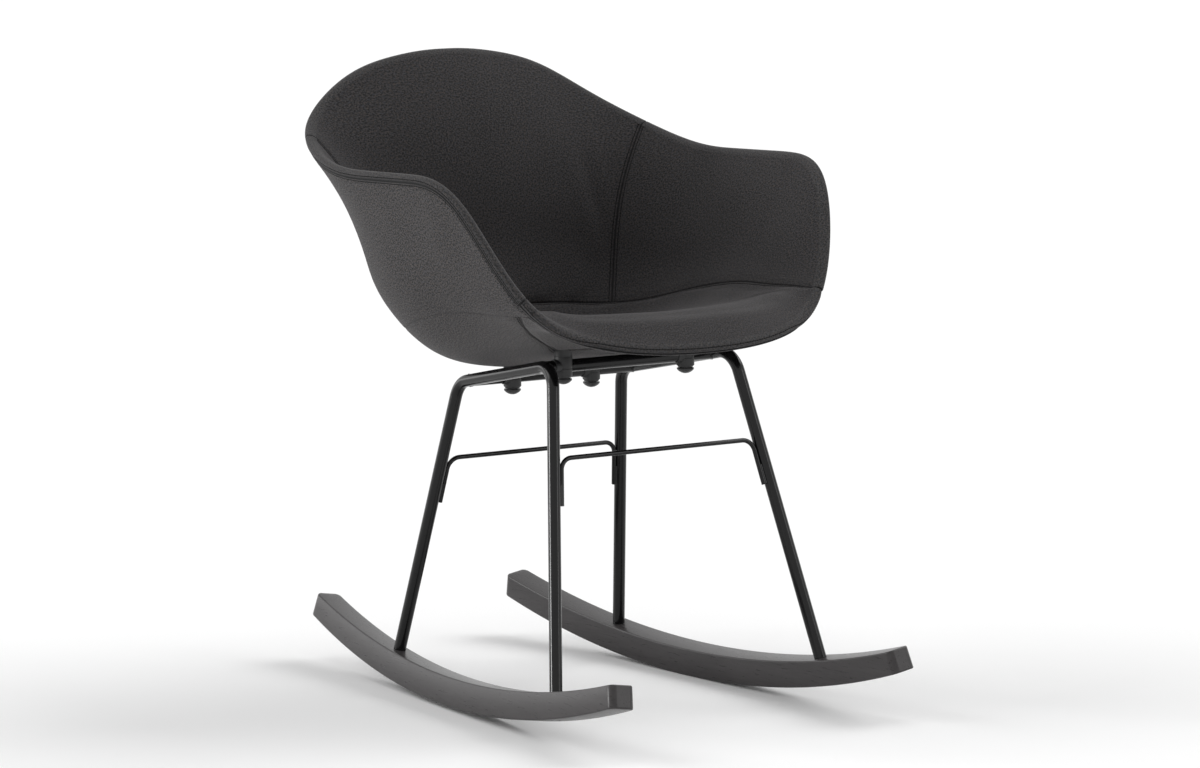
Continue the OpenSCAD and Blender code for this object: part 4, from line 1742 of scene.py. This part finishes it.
@dataclass
class Rocker:
    """A curved wooden rocker: an even bar between two arcs, with eased edges and rounded end corners."""

    radius: float = 1340.0
    top_radius: float = 1480.0
    height: float = 37.6
    width: float = 35.0
    front: float = 422.0
    back: float = 388.0
    corner: float = 9.0
    ease: float = 2.0
    leg_depth: float = 15.0
    leg_r: float = 8.05
    screw_web: float = 15.0
    screw_r: float = 6.5
    side: SideFrame = field(default_factory=SideFrame)

    def section(self, half: float, low: float, high: float) -> Array:
        """Rounded section of the bar.

        Args:
            half: half its width.
            low: height of its lower face above the lower arc.
            high: height of its upper face.

        Returns:
            Offsets across and heights above the lower arc.
        """
        ease = self.ease
        corners = [(half - ease, low + ease, -90), (half - ease, high - ease, 0),
                   (-half + ease, high - ease, 90), (-half + ease, low + ease, 180)]
        turns = np.radians(np.array([start + 22.5 * np.arange(5) for _, _, start in corners])).ravel()
        centres = np.repeat(np.array([corner[:2] for corner in corners]), 5, axis=0)
        return centres + ease * np.stack([np.cos(turns), np.sin(turns)], -1)

    def ring(self, along: float, inward: float = 0.0) -> Array:
        """Points round the bar at a distance along it.

        Args:
            along: distance from the middle, toward the back.
            inward: how far the ring is drawn in, for an end face.

        Returns:
            Its points in the side plane.
        """
        turn = math.asin(along / self.radius)
        near = min(along + self.front, self.back - along)
        inset = self.corner - math.sqrt(max(0.0, self.corner ** 2 - max(0.0, self.corner - near) ** 2))
        shrink = self.ease - math.sqrt(max(0.0, self.ease ** 2 - max(0.0, self.ease - near) ** 2))
        ring = self.section(self.width / 2 - inset - inward, shrink + inward,
                            self.thickness(turn) - shrink - inward)
        up = np.array([0.0, -math.sin(turn), math.cos(turn)])
        centre = self.radius * np.array([0.0, math.sin(turn), 1.0 - math.cos(turn)])
        return centre + ACROSS * ring[:, :1] + up * ring[:, 1:]

    def thickness(self, turn: float) -> float:
        """Height of the bar, square to its lower arc, at an angle round it.

        Args:
            turn: the angle.

        Returns:
            The height.
        """
        offset = self.top_radius + self.height - self.radius
        drop = offset * math.cos(turn)
        return self.radius + drop - math.sqrt(drop ** 2 - offset ** 2 + self.top_radius ** 2)

    def build(self, hand: int, name: str, node: str, material: bpy.types.Material) -> bpy.types.Object:
        """Makes the rocker of one side.

        Args:
            hand: 1 for the right side, -1 for the left.
            name: the new piece's name.
            node: the solid that it stands for.
            material: the wood.

        Returns:
            The finished piece.
        """
        middle = np.linspace(14 - self.front, self.back - 14, 96)
        reach = [*(END_STEPS - self.front), *middle, *(self.back - END_STEPS[::-1])]
        rings = [self.ring(-self.front, inward) for inward in END_RINGS[::-1]]
        rings += [self.ring(along) for along in reach]
        rings += [self.ring(self.back, inward) for inward in END_RINGS]
        ids = np.arange(len(rings) * len(rings[0])).reshape(len(rings), -1)
        faces = [*cells(ids, True).tolist(), ids[0].tolist(), ids[-1][::-1].tolist()]
        piece = make_piece(name, self.side.world(np.concatenate(rings), hand), faces, material)
        self.drill(piece, hand)
        piece.data.set_sharp_from_angle(angle=WOOD_CREASE)
        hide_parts(node)
        return report(piece)

    def drill(self, piece: bpy.types.Object, hand: int) -> None:
        """Bores the leg sockets and the screw holes."""
        for front in (False, True):
            z = (self.side.foot_front if front else self.side.foot_back)[1]
            down = unit(self.side.leg(front, 0.0) - self.side.leg(front, 100.0))
            end = self.side.leg(front, z) + down * self.leg_depth
            socket = (end, end - down * 60, self.leg_r)
            recess = (end + down * self.screw_web, end + down * 45, self.screw_r)
            for a, b, radius in (socket, recess):
                tool = rod(self.side.world(np.array([a, b]), hand), radius, 48, piece.data.materials[0])
                combine(piece, tool, "DIFFERENCE")


def turned(name: str, foot: Array, axis: Array, outline: Sequence[tuple[float, float]], slot: str,
           material: bpy.types.Material, sides: int = 64) -> bpy.types.Object:
    """A closed turned piece.

    Args:
        name: its name.
        foot: the point from which lengths are taken.
        axis: direction of its axis.
        outline: pairs of radius and length along the axis.
        slot: the record's material slot; not used.
        material: its finish.
        sides: number of faces round it.

    Returns:
        The new object.
    """
    axis = unit(axis)
    side = unit(np.cross(axis, [0.3, 1.0, 0.2]))
    turn = np.linspace(0, math.tau, sides, endpoint=False)[:, None]
    ring = np.cos(turn) * side + np.sin(turn) * np.cross(axis, side)
    points = np.concatenate([foot + axis * length + ring * radius for radius, length in outline])
    ids = np.arange(len(points)).reshape(len(outline), sides)
    faces = [*cells(ids, True).tolist(), ids[0][::-1].tolist(), ids[-1].tolist()]
    return make_piece(name, points, faces, material)


def rod(ends: Array, radius: float, sides: int, material: bpy.types.Material) -> bpy.types.Object:
    """A plain closed rod between two points, for cutting."""
    outline = ((radius, 0.0), (radius, float(np.linalg.norm(ends[1] - ends[0]))))
    return turned("cutter", ends[0], ends[1] - ends[0], outline, "frame_black", material, sides)


def combine(piece: bpy.types.Object, tool: bpy.types.Object, operation: str) -> None:
    """Cuts a tool out of a piece or joins it on, and removes the tool.

    Args:
        piece: the piece.
        tool: the tool.
        operation: DIFFERENCE or UNION.
    """
    step = piece.modifiers.new("combine", "BOOLEAN")
    step.operation, step.object, step.solver = operation, tool, "EXACT"
    settle(piece)
    bpy.data.objects.remove(tool)


FRAME_NODES = ("side_frame_right", "side_frame_left", "front_cross_tube", "rear_cross_tube",
               "front_stretcher", "rear_stretcher")


@dataclass
class TubeFrame:
    """The welded black frame: two bent side tubes, two cross tubes, two rods, and the cross tubes' welds."""

    tube_r: float = 8.0
    weld_r: float = 1.35
    side: SideFrame = field(default_factory=SideFrame)

    def build(self, nodes: dict[str, bpy.types.Object], material: bpy.types.Material) -> None:
        """Dresses the tubes and rods and adds their welds.

        Args:
            nodes: the solids by name.
            material: the powder coat.
        """
        for name in FRAME_NODES:
            report(merged_copy(nodes[name], name + "_coated", material, 40.0))
        for name, s in (("welds_front", self.side.front_s), ("welds_rear", self.side.rear_s)):
            self.welds(name, s, material)

    def joint_line(self, s: float, hand: int, around: Array) -> tuple[Array, Array]:
        """Finds the line where a cross tube meets a rail.

        Args:
            s: place of the cross tube along the rail.
            hand: 1 for the right side, -1 for the left.
            around: angles round the cross tube.

        Returns:
            Its points, and the directions away from both tubes.
        """
        centre = self.side.world(self.side.rail(s), hand)
        axis = unit(self.side.world(self.side.rail(1.0), hand) - self.side.world(self.side.rail(0.0), hand))
        offset = self.tube_r * np.stack([np.zeros_like(around), np.cos(around), np.sin(around)], -1)
        d0, d1 = offset - np.outer(offset @ axis, axis), ACROSS - axis * (ACROSS @ axis)
        a, b, c = d1 @ d1, 2 * d0 @ d1, (d0 * d0).sum(-1) - self.tube_r ** 2
        t = (-b - hand * np.sqrt(np.maximum(0.0, b * b - 4 * a * c))) / (2 * a)
        return centre + offset + np.outer(t, ACROSS), unit(unit(offset) + unit(d0 + np.outer(t, d1)))

    def welds(self, name: str, s: float, material: bpy.types.Material, sides: int = 10) -> bpy.types.Object:
        """Fillets where a cross tube is coped to both rails, thin along the top and bottom of the tube.

        Args:
            name: the new piece's name.
            s: place of the cross tube along the rail.
            material: the powder coat.
            sides: number of faces round the bead.

        Returns:
            The finished piece.
        """
        points, faces, count = [], [], 0
        around = np.linspace(0.0, math.tau, 120, endpoint=False)
        for hand in (1, -1):
            ring, outward = self.joint_line(s, hand, around)
            other = unit(np.cross(unit(np.roll(ring, -1, 0) - np.roll(ring, 1, 0)), outward))
            ripple = 1.0 + 0.10 * np.sin(around * 26 + hand) + 0.06 * np.sin(around * 7)
            swell = self.weld_r * (0.35 + 0.65 * np.abs(np.cos(around))) * ripple
            steps = np.linspace(0, math.tau, sides, endpoint=False)
            points += [ring + (outward * math.cos(step) + other * math.sin(step)) * swell[:, None]
                       for step in steps]
            ids = count + np.arange(sides * len(around)).reshape(sides, -1)
            faces += cells(np.concatenate([ids, ids[:1]]), True).tolist()
            count += ids.size
        return report(make_piece(name, np.concatenate(points), faces, material))


@dataclass
class SeatMount:
    """A moulded block round the cross tube, with a short sleeve to one side and a seat below for the bolt."""

    radius: float = 11.5
    up: float = 13.0
    down: float = 15.0
    sleeve_r: float = 9.2
    sleeve_reach: float = 15.5
    tube_bore: float = 8.02
    bolt_bore: float = 3.1
    front_x: float = 94.0
    rear_x: float = 61.5
    side: SideFrame = field(default_factory=SideFrame)

    def build(self, name: str, node: str, s: float, x: float,
              material: bpy.types.Material) -> bpy.types.Object:
        """Makes one mount.

        Args:
            name: the new piece's name.
            node: the solid that it stands for.
            s: place of its cross tube along the rail.
            x: its place across.
            material: the moulded plastic.

        Returns:
            The finished piece.
        """
        rail = self.side.world(self.side.rail(s), 1)
        centre = np.array([x, rail[1], rail[2]])
        r, up, down = self.radius, self.up, self.down
        outline = [(r - 3.2, -down), (r - 1.9, -down + 0.35), (r - 1.5, -down + 0.9), (r - 1.4, -down + 1.9),
                   (r - 0.5, -down + 2.1), (r, -down + 2.7), (r, -3.2), (r - 0.35, -2.8), (r - 0.35, -2.4),
                   (r, -2.0), (r, up - 0.8), (r - 0.25, up - 0.25), (r - 0.9, up)]
        body = turned(name, centre, UPWARD, outline, "mount_plastic", material)
        q, reach = self.sleeve_r, self.sleeve_reach
        sleeve = [(q, 0.0), (q, reach - 1.0), (q - 0.15, reach - 0.5), (q - 0.5, reach - 0.15),
                  (q - 0.9, reach)]
        combine(body, turned("sleeve", centre, -ACROSS, sleeve, "mount_plastic", material), "UNION")
        for direction, radius, sides in ((ACROSS, self.tube_bore, 64), (UPWARD, self.bolt_bore, 32)):
            ends = centre + np.outer([-40.0, 40.0], direction)
            combine(body, rod(ends, radius, sides, material), "DIFFERENCE")
        body.data.set_sharp_from_angle(angle=MOULDED_CREASE)
        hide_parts(node)
        return report(body)


# -------------------------------------------------------------------- studio


@dataclass
class Studio:
    """Pale floor and backdrop, soft light, and the photograph's camera."""

    camera_place: tuple[float, float, float] = (-3.5326, -5.2557, 1.2577)
    yaw: float = -33.689
    pitch: float = 7.71
    roll: float = -0.137
    lens: float = 148.92
    sensor: float = 36.0
    shift: tuple[float, float] = (0.02908, 0.00246)
    floor_reach: float = 40.0
    ambient: float = 0.37
    lamps: tuple[tuple[str, tuple[float, float, float], float, float], ...] = (
        ("top_light", (0.0, 0.0, 1.0), 0.54, 45.0),
        ("right_light", (0.8, -0.2, 0.9), 1.30, 40.0),
        ("rear_light", (-0.8, 0.6, 0.8), 0.95, 40.0),
        ("left_strip", (-0.87, 0.50, 0.15), 0.95, 12.0),
        ("back_strip", (-0.42, 0.90, 0.06), 0.25, 24.0),
        ("front_strip", (0.586, -0.803, 0.32), 0.15, 12.0),
    )

    def build(self) -> None:
        """Makes the camera, the world, the floor and the lamps."""
        self.camera()
        self.world()
        self.floor()
        for name, toward, strength, spread in self.lamps:
            self.sun(name, toward, strength, spread)
        bpy.context.scene.view_settings.view_transform = "Standard"

    def camera(self) -> None:
        """Puts the camera where the photograph was taken from."""
        yaw, pitch, roll = (math.radians(v) for v in (self.yaw, self.pitch, self.roll))
        right = Vector((math.cos(yaw), math.sin(yaw), 0.0))
        back = Vector((math.sin(yaw) * math.cos(pitch), -math.cos(yaw) * math.cos(pitch), math.sin(pitch)))
        up = back.cross(right)
        c, s = math.cos(roll), math.sin(roll)
        columns = (c * right + s * up, -s * right + c * up, back)
        data = bpy.data.cameras.new("camera")
        data.lens, data.sensor_width, data.sensor_fit = self.lens, self.sensor, "HORIZONTAL"
        data.shift_x, data.shift_y = self.shift
        data.clip_end = 200.0
        camera = linked("camera", data)
        turn = Matrix([[column[row] for column in columns] for row in range(3)]).to_4x4()
        camera.matrix_world = Matrix.Translation(self.camera_place) @ turn
        bpy.context.scene.camera = camera

    def world(self) -> None:
        """A grey ambient light that the camera and reflections see as white."""
        world = bpy.data.worlds.new("studio")
        bpy.context.scene.world = world
        world.use_nodes = True
        tree = world.node_tree
        tree.nodes.clear()
        new, link = tree.nodes.new, tree.links.new
        paths, mix, out = new("ShaderNodeLightPath"), new("ShaderNodeMixShader"), new("ShaderNodeOutputWorld")
        link(mix.outputs[0], out.inputs[0])
        for place, strength in ((1, self.ambient), (2, 1.0)):
            light = new("ShaderNodeBackground")
            light.inputs["Color"].default_value = (1, 1, 1, 1)
            light.inputs["Strength"].default_value = strength
            link(light.outputs[0], mix.inputs[place])
        seen = paths.outputs["Is Camera Ray"]
        for kind in ("Is Glossy Ray", "Is Transmission Ray"):
            either = new("ShaderNodeMath")
            either.operation = "MAXIMUM"
            link(seen, either.inputs[0])
            link(paths.outputs[kind], either.inputs[1])
            seen = either.outputs[0]
        link(seen, mix.inputs[0])

    def floor(self) -> None:
        """A large pale floor that keeps the shadow."""
        bench = Bench("studio_floor")
        grain = bench.noise(bench.object_point(), 3.0, 2.0)
        shade = bench.blend(grain, (0.93, 0.93, 0.93), (0.95, 0.95, 0.95))
        r = self.floor_reach
        mesh = bpy.data.meshes.new("studio_floor")
        mesh.from_pydata([(-r, -r, 0), (r, -r, 0), (r, r, 0), (-r, r, 0)], [], [(0, 1, 2, 3)])
        mesh.materials.append(bench.surface(Base_Color=shade, Roughness=1.0, Specular_IOR_Level=0.0))
        linked("studio_floor", mesh)

    def sun(self, name: str, toward: tuple[float, float, float], strength: float, spread: float) -> None:
        """Adds a soft distant lamp.

        Args:
            name: its name.
            toward: the direction that it shines from.
            strength: its strength.
            spread: its width in degrees.
        """
        data = bpy.data.lights.new(name, "SUN")
        data.energy, data.angle = strength, math.radians(spread)
        linked(name, data).rotation_euler = Vector(toward).to_track_quat("Z", "Y").to_euler()


# ---------------------------------------------------------------------- main


def main() -> None:
    """Loads the frame, dresses every piece and sets the studio."""
    logging.basicConfig(level=logging.INFO, format="%(name)s: %(message)s")
    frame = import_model()
    nodes = frame["nodes"]
    Studio().build()
    inner = ClothFinish("cloth_inner", dark=(0.0135, 0.0135, 0.0142), light=(0.0470, 0.0480, 0.0545),
                        warm=(0.0625, 0.0525, 0.0475)).build()
    outer = ClothFinish("cloth_outer", dark=(0.0065, 0.0065, 0.0070), light=(0.0590, 0.0605, 0.0680),
                        warm=(0.0800, 0.0675, 0.0595), contrast=2.0).build()
    edging = ClothFinish("cloth_edging", dark=(0.0175, 0.0175, 0.0184), light=(0.0600, 0.0615, 0.0675),
                         warm=(0.0760, 0.0670, 0.0610), contrast=0.9).build()
    thread = ThreadFinish("thread_black", (0.0028, 0.0028, 0.0030)).build()
    coat = PowderCoatFinish("powder_coat_black").build()
    wood = StainedWoodFinish("stained_wood").build()
    moulded = MouldedFinish("moulded_black").build()
    bolt = MouldedFinish("bolt_black", (0.011, 0.011, 0.0115), 0.4).build()
    steel = MetalFinish("zinc_steel", (0.55, 0.55, 0.56)).build()
    brass = MetalFinish("insert_brass", (0.7, 0.5, 0.22)).build()
    Upholstery().build(inner, outer, edging, thread)
    TubeFrame().build(nodes, coat)
    for hand, word in HANDS:
        Rocker().build(hand, "rocker_bar_" + word, "rocker_" + word, wood)
    mount = SeatMount()
    spots = (("front_", mount.side.front_s, mount.front_x), ("rear_", mount.side.rear_s, mount.rear_x))
    for place, s, reach in spots:
        for hand, word in HANDS:
            mount.build("seat_mount_" + place + word, "mount_" + place + word, s, hand * reach, moulded)
    report(merged_copy(nodes["mount_bolts"], "mount_bolts_domed", bolt, 30.0))
    plain = {"shell": moulded, "shell_inserts": brass, "leg_plugs": steel, "rocker_screws": steel}
    for name, finish in plain.items():
        nodes[name].data.materials.clear()
        nodes[name].data.materials.append(finish)
        LOG.info("%s: dressed as drawn", name)


if __name__ == "__main__":
    main()
